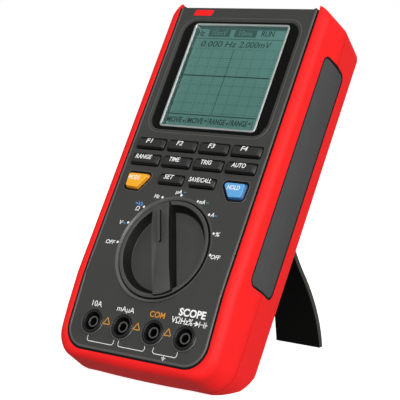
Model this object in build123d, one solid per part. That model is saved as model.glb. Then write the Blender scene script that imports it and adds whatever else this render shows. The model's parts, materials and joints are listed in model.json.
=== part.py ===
from build123d import *
import os
from math import asin, cos, degrees, radians, sin, tan

# Handheld oscilloscope and multimeter, leaning back on its open tilt stand.
#
# Every piece is drawn in the unit's own upright frame, in mm: X to the right, Y into the unit from
# the front panel, and Z up the panel, with Z = 0 at the lower edge of the display trim. place() then
# leans the unit back on its stand, so that it stands on Z = 0 with its bounding box centred.

# ---- Driving dimensions: stance and case ----
LEAN = 32.0                 # degrees that the panel leans back from upright
FLOOR_HEIGHT = -121.0       # height of the table in the leaning direction, in the upright frame
PARTING_Y = 21.8            # joint between the front and the rear shell, the widest section
DEPTH = 45.5
FRONT_SECTION = dict(half_width=49.2, top=69.8, bottom=-127.4)
WIDEST_SECTION = dict(half_width=50.0, top=72.2, bottom=-128.8)
REAR_SECTION = dict(half_width=45.6, top=70.8, bottom=-127.8)
TOP_CORNER = 7.0            # corner radii of the outline, seen from the front
BOTTOM_CORNER = 13.0
BOTTOM_BOW = 1.6            # how far the middle of the bottom edge hangs below its ends
BUMPER_WALL = 2.4           # rubber overmould
FRONT_WALL = 2.0            # plastic wall under the overmould
REAR_WALL = 2.6
GRIP_SIZE = (22.4, 123.2)   # side grips, seen from the side: depth and height
GRIP_CENTRE = (21.2, -12.7)
GRIP_CORNER = 3.4
GRIP_DEPTH = 1.6            # depth of the pockets for them
GRIP_SINK = 0.2
GRIP_GAP = 0.4
FRONT_EDGE = 2.2            # rounding along the sides of the front face
REAR_EDGE = 3.0             # rounding around the rear face

# ---- Front panel ----
PANEL_HALF_WIDTH = 42.05
PANEL_BOTTOM = -121.4
PANEL_CORNER = 11.0
PANEL_THICKNESS = 3.0
PANEL_GROOVE = 0.5          # gap between the panel's edge and the overmould
CORNER_BEAD_X = 41.2        # small bead at each top corner of the panel
CORNER_BEAD_RADIUS = 1.3
BEND_Z = -84.4              # below this line the panel falls back
BEND_ANGLE = 5.67

# ---- Display ----
WINDOW_WIDTH = 72.0
WINDOW_HEIGHT = 64.0
WINDOW_Z = 29.7
WINDOW_CORNER = 7.0
WINDOW_SINK = 0.3           # how far the bezel lies below the panel
BEZEL_THICKNESS = 1.7
POCKET_MARGIN = 1.9         # width of the bevel around the bezel
TRIM_WIDTH = 59.8           # outside of the bright trim ring
TRIM_HEIGHT = 61.2
TRIM_Z = 30.0
TRIM_CORNER = 2.2
TRIM_BAND = 1.2
LCD_WIDTH = 61.2
LCD_HEIGHT = 62.0
BOARD_THICKNESS = 1.6
DISPLAY_BOARD_Y = 7.2
MAIN_BOARD_Y = 22.0

# ---- Keys ----
KEY_PROUD = 1.6
KEY_SHOULDER = 0.8          # sloping edge around the top of each key
KEY_TRAVEL = 0.8
KEY_GAP = 0.35
KEY_FLANGE = 0.5
FLANGE_Y = PANEL_THICKNESS + 0.2
FLANGE_THICKNESS = 0.8
MAT_THICKNESS = 0.8
DOME_CLEARANCE = 0.3        # left above a dome when its key is pressed
KEY_WIDTH = 17.8
KEY_HEIGHT = 6.2
KEY_PITCH = 19.8
TOP_ROW_Z = -11.3
SECOND_ROW_Z = -20.4
THIRD_ROW_Z = -30.2
CORNER_KEY_Z = -28.2        # upper edge of the two slanted keys
TOP_ROW = ("key_f1", "key_f2", "key_f3", "key_f4")
SECOND_ROW = ("key_range", "key_time", "key_trigger", "key_auto")
THIRD_ROW = {"key_set": -9.4, "key_save": 10.2}
THIRD_ROW_SIZE = (15.4, 5.6)

# ---- Selector dial ----
DIAL_Z = -66.5
DIAL_REST_ANGLE = 112.5     # where the pointer stands, counterclockwise from the right
DIAL_STEP = 22.5
KNOB_RADIUS = 26.0
KNOB_GAP = 0.4
KNOB_RIM_Y = 0.2
KNOB_BAR_Y = -2.6
KNOB_FLOOR_Y = 4.5
KNOB_BACK_Y = 5.8
RIM_INNER_RADIUS = 23.8
DISH_RADIUS = 20.7
BAR_WIDTH = 10.4
COUNTERSINK_RADIUS = 27.9   # slope around the knob, from the panel down to the gap
COUNTERSINK_DEPTH = 1.1
CUP_FLOOR_Y = 6.2
CUP_BACK_Y = 8.2
SHAFT_RADIUS = 5.0
SHAFT_CLEARANCE = 0.06
ROTOR_Y = 17.5
ROTOR_RADIUS = 20.0
TRACK_RADII = (11.5, 14.5, 17.5)
TRACK_THICKNESS = 0.08

# ---- Input jacks, fuses, battery ----
JACK_PITCH = 19.0
JACK_Z = -108.3
JACK_RADIUS = 6.05
JACK_CAVITY_RADIUS = 4.6
JACK_COLLAR_RADIUS = 2.75
JACK_TUBE_RADIUS = 2.35
JACK_BORE_RADIUS = 2.0
JACK_BORE_LENGTH = 16.0
JACK_MOUTH_Y = 4.4          # front end of the contact tubes
JACK_END_Y = 21.9
FUSE_RADIUS = 3.15
FUSE_LENGTH = 32.0
FUSE_CENTRE = (20.0, 16.0, -97.2)
CELL_RADIUS = 7.1
CELL_LENGTH = 49.5          # without the contact nub
CELL_NUB = 1.0
CELL_PITCH = 15.0
CELL_Y = 32.6
CELL_BOTTOM_Z = -95.6

# ---- Tilt stand ----
HINGE_Y = 43.5
HINGE_Z = 12.0
OPEN_ANGLE = 40.0
STAND_FRONT = -1.3          # front and back face of the plate, measured from the hinge axis
STAND_BACK = 1.7
STAND_NECK = 17.5           # half widths
STAND_FOOT = 34.0
STAND_REACH = 112.0
NECK_END = -31.0            # the swelling from neck to foot, measured down from the hinge
FOOT_START = -108.0
NOTCH_WIDTH = 12.8
NOTCH_HEIGHT = 18.0
KNUCKLE_RADIUS = 1.9
PIN_RADIUS = 0.9
RECESS_Y = 41.8
RECESS_FLOOR = 1.8
RECESS_WALL = 1.6
RECESS_HALF_WIDTH = 36.9
RECESS_BOTTOM = -99.5
RECESS_SHOULDER = -14.0     # above this the recess is only as wide as the stand's neck

# ---- Fasteners ----
CASE_SCREWS = [(side * 40.2, z) for side in (-1, 1) for z in (58.0, -92.0)]
DISPLAY_SCREWS = [(side * 35.4, z) for side in (-1, 1) for z in (47.0, 2.0)]
BOARD_SCREWS = [(side * 33.6, z) for side in (-1, 1) for z in (-42.0, -89.5)]
DOOR_SCREWS = [(side * 24.0, -40.4) for side in (-1, 1)]


# ---- Helpers ----
def slab(sketch, y0, y1):
    """A sketch drawn in X and Z, extruded from depth y0 to depth y1."""
    return extrude(Plane.XZ.offset(-y0) * sketch, amount=y1 - y0, dir=(0, 1, 0))


def box(x0, x1, y0, y1, z0, z1):
    centre = Pos((x0 + x1) / 2, (y0 + y1) / 2, (z0 + z1) / 2)
    return centre * Box(x1 - x0, y1 - y0, z1 - z0)


def rod(x, z, radius, y0, y1):
    """A cylinder along the unit's depth."""
    return slab(Pos(x, z) * Circle(radius), y0, y1)


def tube(x, z, outer, inner, y0, y1):
    return slab(Pos(x, z) * (Circle(outer) - Circle(inner)), y0, y1)


def cross_rod(y, z, radius, x0, x1):
    """A cylinder along the unit's width."""
    return extrude(Plane.YZ.offset(x0) * Pos(y, z) * Circle(radius), amount=x1 - x0)


def rounded(x, z, width, height, radius):
    return Pos(x, z) * RectangleRounded(width, height, radius)


def joined(shapes):
    """Several separate solids in one node."""
    return Compound(children=[solid for shape in shapes for solid in shape.solids()])


def panel_depth(z):
    """Depth of the panel's surface at height z."""
    return max(0.0, BEND_Z - z) * tan(radians(BEND_ANGLE))


def panel_layer(y0, y1):
    """The layer between two depths below the panel's surface, bent as the panel is."""
    low, high = -135.0, 90.0
    points = [(y0, high), (y1, high), (y1, BEND_Z), (y1 + panel_depth(low), low)]
    points += [(y0 + panel_depth(low), low), (y0, BEND_Z)]
    return extrude(Plane.YZ * Polygon(*points, align=None), amount=60, both=True)


def jack_columns():
    return [JACK_PITCH * (i - 1.5) for i in range(4)]


# ---- Outer form of the case ----
def outline(section, inset):
    """Front view of the case at one depth: straight sides, a bowed bottom edge and round corners."""
    x = section["half_width"] - inset
    top = section["top"] - inset
    low = section["bottom"] + inset
    side_low = low + BOTTOM_BOW
    edges = Line((x, side_low), (x, top)) + Line((x, top), (-x, top)) + Line((-x, top), (-x, side_low))
    face = make_face(edges + ThreePointArc((-x, side_low), (0, low), (x, side_low)))
    face = fillet(face.vertices().group_by(Axis.Y)[-1], TOP_CORNER - inset)
    return fillet(face.vertices().group_by(Axis.Y)[0], BOTTOM_CORNER - inset)


def floor_point(y):
    """The point at depth y that rests on the table once the unit leans back."""
    return (y, (FLOOR_HEIGHT + y * sin(radians(LEAN))) / cos(radians(LEAN)))


def side_profile(inset):
    """Side view of the case: the bent panel, the bottom, the resting facet and the rear face."""
    points = [(0, 90), (0, BEND_Z), (panel_depth(-123.6), -123.6), (6.6, -126.8), (18.0, -128.3)]
    points += [floor_point(24.0), floor_point(35.0), (43.4, -111.0), (DEPTH, -104.0), (DEPTH, 90)]
    face = Polygon(*points, align=None)
    if inset:
        face = offset(face, amount=-inset, kind=Kind.INTERSECTION)
    return extrude(Plane.YZ * face, amount=60, both=True)


def section_at(section, y, inset):
    return Plane.XZ.offset(-y) * outline(section, inset)


def front_half(inset=0.0):
    ends = [section_at(FRONT_SECTION, 0, inset), section_at(WIDEST_SECTION, PARTING_Y, inset)]
    return loft(ends, ruled=True) & side_profile(inset)


def rear_half(inset=0.0):
    ends = [section_at(WIDEST_SECTION, PARTING_Y, inset), section_at(REAR_SECTION, DEPTH, inset)]
    return loft(ends, ruled=True) & side_profile(inset)


def grip_prism(side, margin, x_inner):
    """Side view of a grip pad, as a prism from x_inner outwards."""
    width, height = (size + 2 * margin for size in GRIP_SIZE)
    sketch = Pos(*GRIP_CENTRE) * RectangleRounded(width, height, GRIP_CORNER + margin)
    prism = extrude(Plane.YZ.offset(x_inner) * sketch, amount=60)
    return prism if side > 0 else mirror(prism, about=Plane.YZ)


# ---- Case shells ----
def panel_outline(margin):
    height = 90.0 - PANEL_BOTTOM + margin
    face = Pos(0, 90.0 - height / 2) * Rectangle(2 * (PANEL_HALF_WIDTH + margin), height)
    return fillet(face.vertices().group_by(Axis.Y)[0], PANEL_CORNER + margin)


def window_pocket():
    """The bevel around the bezel and the seat that the bezel lies in."""
    wide = rounded(0, WINDOW_Z, WINDOW_WIDTH + 2 * POCKET_MARGIN, WINDOW_HEIGHT + 2 * POCKET_MARGIN,
                   WINDOW_CORNER + POCKET_MARGIN)
    seat = rounded(0, WINDOW_Z, WINDOW_WIDTH + 0.2, WINDOW_HEIGHT + 0.2, WINDOW_CORNER)
    bevel = loft([Plane.XZ * wide, Plane.XZ.offset(-WINDOW_SINK) * seat], ruled=True)
    aperture = rounded(0, TRIM_Z, LCD_WIDTH + 0.6, LCD_HEIGHT + 0.6, 1.0)
    return bevel + slab(seat, WINDOW_SINK, WINDOW_SINK + BEZEL_THICKNESS) + slab(aperture, 0, 8)


def dial_cup():
    """The round well behind the knob, with a sloping mouth and the shaft's bore in its floor."""
    cup = rod(0, DIAL_Z, KNOB_RADIUS + KNOB_GAP + 1.8, 0.5, CUP_BACK_Y)
    well = rod(0, DIAL_Z, KNOB_RADIUS + KNOB_GAP, -1, CUP_FLOOR_Y)
    bore = rod(0, DIAL_Z, SHAFT_RADIUS + SHAFT_CLEARANCE, 0, 12)
    centre = Pos(0, DIAL_Z)
    mouth_ends = [Plane.XZ * centre * Circle(COUNTERSINK_RADIUS)]
    mouth_ends.append(Plane.XZ.offset(-COUNTERSINK_DEPTH) * centre * Circle(KNOB_RADIUS + KNOB_GAP))
    return cup, well + loft(mouth_ends, ruled=True) + bore


def front_case():
    body = front_half(BUMPER_WALL)
    top_band = front_half() & box(-PANEL_HALF_WIDTH, PANEL_HALF_WIDTH, 0, PARTING_Y, 60, 80)
    body += top_band
    body += front_half() & slab(panel_outline(0), 0, 4) & panel_layer(0, PANEL_THICKNESS)
    body -= front_half(BUMPER_WALL + FRONT_WALL)
    behind_panel = slab(panel_outline(-2.0), 1, 20) & panel_layer(PANEL_THICKNESS, 6)
    body -= behind_panel & box(-60, 60, 0, 20, -130, 65)
    for side in (-1, 1):
        body += rod(side * CORNER_BEAD_X, FRONT_SECTION["top"] - 0.4, CORNER_BEAD_RADIUS, 0.4, 6.0)
    cup, well = dial_cup()
    body += cup
    for x, z in CASE_SCREWS:
        body += rod(x, z, 3.4, 2, PARTING_Y - 0.1) & panel_layer(2.5, 40)
    for x, z in BOARD_SCREWS:
        body += rod(x, z, 2.5, 2, MAIN_BOARD_Y) & panel_layer(2, 40)
    for x, z in DISPLAY_SCREWS:
        body += rod(x, z, 1.9, 2, DISPLAY_BOARD_Y)
    body -= well
    body -= window_pocket()
    for sketch in key_sketches().values():
        body -= slab(offset(sketch, amount=KEY_GAP), -3, 5)
    for x in jack_columns():
        body -= rod(x, JACK_Z, JACK_RADIUS + 0.05, -3, 8)
    for x, z in CASE_SCREWS:
        body -= rod(x, z, 1.4, 12, 30)
    for x, z in BOARD_SCREWS:
        body -= rod(x, z, 1.1, 14, 30)
    for x, z in DISPLAY_SCREWS:
        body -= rod(x, z, 1.1, 3.4, 8)
    return body


def front_bumper(grip_pockets):
    body = front_half()
    rim = body.edges().filter_by(lambda e: abs(e.center().X) > 47 and e.center().Y < 0.1)
    body = fillet(rim, FRONT_EDGE) - front_half(BUMPER_WALL)
    body -= slab(panel_outline(PANEL_GROOVE), -1, 8)
    body -= box(-PANEL_HALF_WIDTH - PANEL_GROOVE, PANEL_HALF_WIDTH + PANEL_GROOVE, -1, 30, 62, 80)
    return body - grip_pockets


def rear_case(grip_pockets):
    shell = rear_half()
    rim = shell.edges().filter_by(lambda e: e.center().Y > DEPTH - 0.1 and e.center().Z > -100)
    shell = fillet(rim, REAR_EDGE)
    body = shell - (rear_half(REAR_WALL) & box(-60, 60, 0, DEPTH - REAR_WALL, -140, 80))
    floor_y = RECESS_Y - RECESS_FLOOR
    wall_x = RECESS_HALF_WIDTH + RECESS_WALL
    body += box(-wall_x, wall_x, floor_y, DEPTH - 2, RECESS_BOTTOM - RECESS_WALL, 18.5)
    body += box(-22.5, 22.5, 39.4, DEPTH - 2, 4, 18.5)
    for x, z in CASE_SCREWS:
        body += rod(x, z, 4.0, PARTING_Y + 0.1, DEPTH - 1) & shell
    body -= box(-RECESS_HALF_WIDTH, RECESS_HALF_WIDTH, RECESS_Y, 50, RECESS_BOTTOM, RECESS_SHOULDER)
    body -= box(-STAND_NECK - 0.4, STAND_NECK + 0.4, RECESS_Y, 50, RECESS_SHOULDER - 1, HINGE_Z + 3.6)
    body -= cross_rod(HINGE_Y, HINGE_Z, KNUCKLE_RADIUS + 0.5, -STAND_NECK - 0.4, STAND_NECK + 0.4)
    body -= cross_rod(HINGE_Y, HINGE_Z, PIN_RADIUS, -21.0, 21.0)
    body -= box(-31, 31, 38, 43, -98.5, -37.0)
    for x, z in CASE_SCREWS:
        body -= rod(x, z, 1.7, 20, 40) + rod(x, z, 2.9, 30, 50)
    return body - grip_pockets


def grip_pockets():
    """The shallow pocket in each side of the case, a little wider than its pad."""
    core = front_half(GRIP_DEPTH) + rear_half(GRIP_DEPTH)
    return grip_prism(-1, GRIP_GAP, 40.0) + grip_prism(1, GRIP_GAP, 40.0) - core


def grip(side):
    """Rubber pad that bridges the joint between the shells; its face follows the case's sides."""
    outer = front_half(GRIP_SINK) + rear_half(GRIP_SINK)
    inner = front_half(GRIP_DEPTH) + rear_half(GRIP_DEPTH)
    return (outer - inner) & grip_prism(side, 0.0, 40.0)


# ---- Display stack ----
def trim_sketch(inset):
    return rounded(0, TRIM_Z, TRIM_WIDTH - 2 * inset, TRIM_HEIGHT - 2 * inset, TRIM_CORNER - inset * 0.6)


def window_bezel():
    plate = rounded(0, WINDOW_Z, WINDOW_WIDTH, WINDOW_HEIGHT, WINDOW_CORNER) - trim_sketch(0)
    return slab(plate, WINDOW_SINK, WINDOW_SINK + BEZEL_THICKNESS)


def lcd_panel():
    """The glass cell, a little larger than the trim ring, which lies over its edges."""
    return slab(rounded(0, TRIM_Z, LCD_WIDTH, LCD_HEIGHT, 0.6), 2.4, 4.3)


def zebra_strips():
    """Elastic strips that join the glass cell to the display board, above and below."""
    return joined([box(-29, 29, 4.3, DISPLAY_BOARD_Y, z, z + 2.0) for z in (-0.4, 58.4)])


def display_board():
    """One board behind the display and the keys, narrower between the upper case screws."""
    back_y = DISPLAY_BOARD_Y + BOARD_THICKNESS
    board = box(-38.4, 38.4, DISPLAY_BOARD_Y, back_y, -37.5, 52.0)
    board += box(-35.4, 35.4, DISPLAY_BOARD_Y, back_y, 50.0, 62.5)
    for x, z in DISPLAY_SCREWS:
        board -= rod(x, z, 1.2, 0, 20)
    return board


# ---- Keys ----
def slanted_key_sketch(side):
    points = [(36.9, CORNER_KEY_Z), (22.0, CORNER_KEY_Z)]
    points += [(28.2, CORNER_KEY_Z - 8.9), (36.5, CORNER_KEY_Z - 8.5)]
    face = Polygon(*[(side * x, z) for x, z in points], align=None)
    return fillet(face.vertices(), 1.3)


def key_sketches():
    """The outline of each key, by name."""
    sketches = {}
    for names, z in ((TOP_ROW, TOP_ROW_Z), (SECOND_ROW, SECOND_ROW_Z)):
        for i, name in enumerate(names):
            sketches[name] = rounded(KEY_PITCH * (i - 1.5), z, KEY_WIDTH, KEY_HEIGHT, 1.0)
    for name, x in THIRD_ROW.items():
        sketches[name] = rounded(x, THIRD_ROW_Z, *THIRD_ROW_SIZE, 1.0)
    sketches["key_mode"] = slanted_key_sketch(-1)
    sketches["key_hold"] = slanted_key_sketch(1)
    return sketches


def key_cap(sketch):
    cap = slab(sketch, -KEY_PROUD, FLANGE_Y)
    top_edges = cap.edges().filter_by(lambda e: e.center().Y < -KEY_PROUD + 0.01)
    cap = chamfer(top_edges, KEY_SHOULDER)
    return cap + slab(offset(sketch, amount=KEY_FLANGE), FLANGE_Y, FLANGE_Y + FLANGE_THICKNESS)


def keypad_mat():
    """Rubber sheet with a dome under each key."""
    sheet_y = DISPLAY_BOARD_Y - MAT_THICKNESS
    dome_y = FLANGE_Y + FLANGE_THICKNESS + KEY_TRAVEL + DOME_CLEARANCE
    mat = box(-38.4, 38.4, sheet_y, DISPLAY_BOARD_Y, -37.4, -6.4)
    for sketch in key_sketches().values():
        centre = sketch.center()
        dome = Rot(-90, 0, 0) * Cone(2.0, 3.0, sheet_y - dome_y)
        mat += Pos(centre.X, (sheet_y + dome_y) / 2, centre.Y) * dome
    return mat


# ---- Selector dial ----
def dial_knob():
    """A dished disc with a grip bar across it, its pointer end towards the rest angle."""
    half = [(0, KNOB_FLOOR_Y), (DISH_RADIUS, KNOB_FLOOR_Y), (RIM_INNER_RADIUS, KNOB_RIM_Y + 0.3)]
    half += [(RIM_INNER_RADIUS + 0.3, KNOB_RIM_Y), (KNOB_RADIUS - 0.5, KNOB_RIM_Y)]
    half += [(KNOB_RADIUS, KNOB_RIM_Y + 0.6), (KNOB_RADIUS, KNOB_BACK_Y), (0, KNOB_BACK_Y)]
    disc = revolve(Plane.XY * Polygon(*half, align=None), Axis.Y)
    reach = KNOB_RADIUS - 0.9
    bar = box(-BAR_WIDTH / 2, BAR_WIDTH / 2, KNOB_BAR_Y, KNOB_FLOOR_Y + 0.5, -reach, reach)
    end_edges = bar.edges().filter_by(Axis.X).filter_by(lambda e: e.center().Y < KNOB_BAR_Y + 0.01)
    bar = chamfer(end_edges, 1.0, 2.6) & rod(0, 0, reach, -10, 10)
    pointer = box(-0.5, 0.5, KNOB_BAR_Y - 1, KNOB_BAR_Y + 0.4, 4.0, reach - 3.4)
    return disc + bar - pointer


def on_dial(shape):
    """Turns a piece drawn about the dial's axis to the rest angle and moves it to the dial."""
    return Pos(0, 0, DIAL_Z) * Rot(0, 90 - DIAL_REST_ANGLE, 0) * shape


def detent_hub():
    hub = tube(0, 0, 9.4, SHAFT_RADIUS, CUP_BACK_Y + 0.4, 12.4)
    for side in (-1, 1):
        hub -= cross_rod(10.5, 0, 1.45, min(6.2 * side, 12 * side), max(6.2 * side, 12 * side))
    return hub


def detent_springs():
    """Sleeves with the outside of the two coil springs."""
    sleeve = cross_rod(10.5, 0, 1.2, 6.2, 9.45) - cross_rod(10.5, 0, 0.7, 6.2, 9.45)
    return joined([sleeve, mirror(sleeve, about=Plane.YZ)])


def detent_balls():
    return joined([Pos(side * 10.75, 10.5, 0) * Sphere(1.4) for side in (-1, 1)])


def detent_ring():
    ring = tube(0, 0, 16.0, 12.5, CUP_BACK_Y, 11.6)
    for i in range(16):
        ring -= Rot(0, DIAL_STEP * i, 0) * rod(12.6, 0, 1.2, CUP_BACK_Y, 13)
    return ring


def dial_rotor():
    rotor = rod(0, 0, ROTOR_RADIUS, ROTOR_Y, ROTOR_Y + 2.0)
    rotor += tube(0, 0, 8.0, SHAFT_RADIUS, ROTOR_Y - 3.0, ROTOR_Y)
    return rotor


def rotor_wipers():
    """Three sprung contact fingers under the rotor, each a strip with a contact point at both ends."""
    fingers = []
    for i in range(3):
        strip = box(-4.5, 4.5, ROTOR_Y + 2.0, ROTOR_Y + 2.4, 12.6, 15.4)
        for x in (-3.6, 3.6):
            strip += rod(x, 14.0, 0.7, ROTOR_Y + 2.2, MAIN_BOARD_Y - 0.4)
        fingers.append(Rot(0, 120 * i, 0) * strip)
    return joined(fingers)


# ---- Boards and what is on them ----
def main_board():
    board = box(-35.9, 35.9, MAIN_BOARD_Y, MAIN_BOARD_Y + BOARD_THICKNESS, -118.5, 63.0)
    for x, z in BOARD_SCREWS:
        board -= rod(x, z, 1.2, 20, 30)
    return board


def switch_tracks():
    """Three gold rings on the main board that the wipers touch."""
    front_y = MAIN_BOARD_Y - TRACK_THICKNESS
    return joined([tube(0, DIAL_Z, r + 0.9, r - 0.9, front_y, MAIN_BOARD_Y) for r in TRACK_RADII])


def input_shield():
    """Open can of tinned sheet over the input amplifiers."""
    can = box(-28, 28, 12.5, MAIN_BOARD_Y, -32, 30)
    return can - box(-27.5, 27.5, 13, MAIN_BOARD_Y, -31.5, 29.5)


def fuse_positions():
    x, y, z = FUSE_CENTRE
    return [(-x, y, z), (x, y, z)]


def fuse_tubes():
    half = FUSE_LENGTH / 2 - 5.0
    return joined([cross_rod(y, z, FUSE_RADIUS - 0.2, x - half, x + half) for x, y, z in fuse_positions()])


def fuse_caps():
    caps = []
    for x, y, z in fuse_positions():
        for start in (x - FUSE_LENGTH / 2, x + FUSE_LENGTH / 2 - 5.0):
            caps.append(cross_rod(y, z, FUSE_RADIUS, start, start + 5.0))
    return joined(caps)


def fuse_clips():
    """Open spring clips, each a base on the board with a jaw above and below the fuse's end cap."""
    clips = []
    for x, y, z in fuse_positions():
        for centre in (x - FUSE_LENGTH / 2 + 2.5, x + FUSE_LENGTH / 2 - 2.5):
            grab = FUSE_RADIUS + 0.5
            clip = box(centre - 2, centre + 2, y - 1.5, MAIN_BOARD_Y, z - grab, z + grab)
            clip -= box(centre - 3, centre + 3, y - 2, y, z - FUSE_RADIUS, z + FUSE_RADIUS)
            clip -= cross_rod(y, z, FUSE_RADIUS, centre - 3, centre + 3)
            clip -= box(centre - 3, centre + 3, y, MAIN_BOARD_Y - 0.5, z - FUSE_RADIUS, z + FUSE_RADIUS)
            clips.append(clip)
    return joined(clips)


def shunt_bar():
    """A bent bar of resistance metal that carries the high-current range."""
    x0, x1, y, z, radius = -34.0, -23.0, 14.0, -80.0, 0.9
    bar = cross_rod(y, z, radius, x0, x1)
    for x in (x0, x1):
        bar += rod(x, z, radius, y, MAIN_BOARD_Y) + Pos(x, y, z) * Sphere(radius)
    return bar


# ---- Jacks ----
def jack_housings():
    """Shrouded sockets: an outer wall, a deep ring-shaped well and a collar around the contact."""
    housings = []
    for x in jack_columns():
        body = rod(x, JACK_Z, JACK_RADIUS, -3, JACK_END_Y) & panel_layer(-0.4, 30)
        well = tube(x, JACK_Z, JACK_CAVITY_RADIUS, JACK_COLLAR_RADIUS, -3, 16)
        front = rod(x, JACK_Z, JACK_CAVITY_RADIUS, -3, JACK_MOUTH_Y - 0.5)
        core = rod(x, JACK_Z, JACK_TUBE_RADIUS, -3, JACK_END_Y)
        housings.append(body - well - front - core)
    return joined(housings)


def jack_contacts():
    contacts = []
    for x in jack_columns():
        contact = rod(x, JACK_Z, JACK_TUBE_RADIUS, JACK_MOUTH_Y, JACK_END_Y)
        contact -= rod(x, JACK_Z, JACK_BORE_RADIUS, JACK_MOUTH_Y - 1, JACK_MOUTH_Y + JACK_BORE_LENGTH)
        contacts.append(contact)
    return joined(contacts)


# ---- Battery ----
def cell_columns():
    return [CELL_PITCH * (i - 1.5) for i in range(4)]


def battery_cells():
    """Four cells side by side, every second one upside down."""
    standing = (Align.CENTER, Align.CENTER, Align.MIN)
    cells = []
    for i, x in enumerate(cell_columns()):
        upright = i % 2 == 0
        can_z = CELL_BOTTOM_Z if upright else CELL_BOTTOM_Z + CELL_NUB
        nub_z = CELL_BOTTOM_Z + CELL_LENGTH if upright else CELL_BOTTOM_Z
        can = Pos(x, CELL_Y, can_z) * Cylinder(CELL_RADIUS, CELL_LENGTH, align=standing)
        cells.append(can + Pos(x, CELL_Y, nub_z) * Cylinder(2.7, CELL_NUB, align=standing))
    return joined(cells)


def battery_contacts():
    """A plate behind each cell end, with a raised point that presses on the cell."""
    plates = []
    for x in cell_columns():
        low = box(x - 4, x + 4, CELL_Y - 5, CELL_Y + 5, -97.8, -97.4)
        low += Pos(x, CELL_Y, -96.5) * Cylinder(2.2, 1.8)
        high_z = CELL_BOTTOM_Z + CELL_LENGTH + CELL_NUB
        high = box(x - 4, x + 4, CELL_Y - 5, CELL_Y + 5, -44.0, -43.6)
        high += Pos(x, CELL_Y, (high_z - 43.8) / 2) * Cylinder(2.2, -43.8 - high_z)
        plates += [low, high]
    return joined(plates)


def battery_tray():
    """Open box for the four cells, with its screw holes for the door."""
    tray = box(-31.4, 31.4, 24.2, RECESS_Y - RECESS_FLOOR, -99.0, -37.4)
    tray -= box(-30.2, 30.2, 25.3, 45, -97.8, -43.6)
    for x, z in DOOR_SCREWS:
        tray -= rod(x, z, 1.1, 32, 45)
    return tray


def battery_door():
    door = box(-30.8, 30.8, RECESS_Y - RECESS_FLOOR, RECESS_Y, -98.3, -37.2)
    for x, z in DOOR_SCREWS:
        door -= rod(x, z, 1.6, 38, 45) + rod(x, z, 2.6, RECESS_Y - 1.2, 45)
    return door


# ---- Fasteners ----
def screw(x, z, head_radius, shank_radius, tip_y, seat_y, head_y):
    """A screw driven in from the rear, with a straight slot in its head."""
    body = rod(x, z, shank_radius, tip_y, seat_y) + rod(x, z, head_radius, seat_y, head_y)
    return body - box(x - head_radius, x + head_radius, head_y - 0.7, head_y, z - 0.4, z + 0.4)


def case_screws():
    return joined([screw(x, z, 2.6, 1.4, 12.5, 30.0, 32.2) for x, z in CASE_SCREWS])


def board_screws():
    seat = MAIN_BOARD_Y + BOARD_THICKNESS
    screws = [screw(x, z, 2.0, 1.1, seat - 8.0, seat, seat + 1.5) for x, z in BOARD_SCREWS]
    seat = DISPLAY_BOARD_Y + BOARD_THICKNESS
    screws += [screw(x, z, 2.0, 1.1, seat - 5.0, seat, seat + 1.5) for x, z in DISPLAY_SCREWS]
    return joined(screws)


def door_screws():
    return joined([screw(x, z, 2.5, 1.1, 33.0, RECESS_Y - 1.2, RECESS_Y - 0.1) for x, z in DOOR_SCREWS])


# ---- Tilt stand ----
def stand_outline():
    """Bell shape seen from the rear, hanging down from the hinge, with a notch between its two feet.
    Each side swells from neck to foot in two equal arcs that turn opposite ways."""
    swell = STAND_FOOT - STAND_NECK
    drop = NECK_END - FOOT_START
    radius = (swell ** 2 + drop ** 2) / (4 * swell)
    turn = degrees(asin(drop / 2 / radius))
    neck = Line((0, 0), (STAND_NECK, 0)) + Line((STAND_NECK, 0), (STAND_NECK, NECK_END))
    outward = JernArc((STAND_NECK, NECK_END), (0, -1), radius, turn)
    inward = JernArc(outward @ 1, outward % 1, radius, -turn)
    foot = Line(inward @ 1, (STAND_FOOT, -STAND_REACH))
    sole = Line((STAND_FOOT, -STAND_REACH), (0, -STAND_REACH))
    right = neck + outward + inward + foot + sole
    face = make_face(right + mirror(right, about=Plane.YZ))
    return face - Pos(0, -STAND_REACH) * SlotCenterToCenter(2 * NOTCH_HEIGHT, NOTCH_WIDTH, rotation=90)


def stand_hollow():
    """Shallow panel moulded into the stand's rear face."""
    points = [(13.5, -8), (13.5, -31), (20.5, -61), (26.5, -83)]
    face = Polygon(*points, *[(-x, z) for x, z in reversed(points)], align=None)
    return slab(fillet(face.vertices(), 2.5), STAND_FRONT + 1.6, STAND_BACK + 1)


def tilt_stand():
    """Drawn folded about the hinge axis, opened, then cut off level with the table."""
    plate = slab(stand_outline(), STAND_FRONT, STAND_BACK)
    barrel = cross_rod(0, 0, KNUCKLE_RADIUS, -STAND_NECK, STAND_NECK)
    stand = plate - stand_hollow() + barrel
    stand -= cross_rod(0, 0, PIN_RADIUS + 0.05, -STAND_NECK - 1, STAND_NECK + 1)
    opened = Pos(0, HINGE_Y, HINGE_Z) * Rot(OPEN_ANGLE, 0, 0) * stand
    below_floor = Rot(LEAN, 0, 0) * Pos(0, 0, FLOOR_HEIGHT - 50) * Box(200, 400, 100)
    return opened - below_floor


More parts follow.
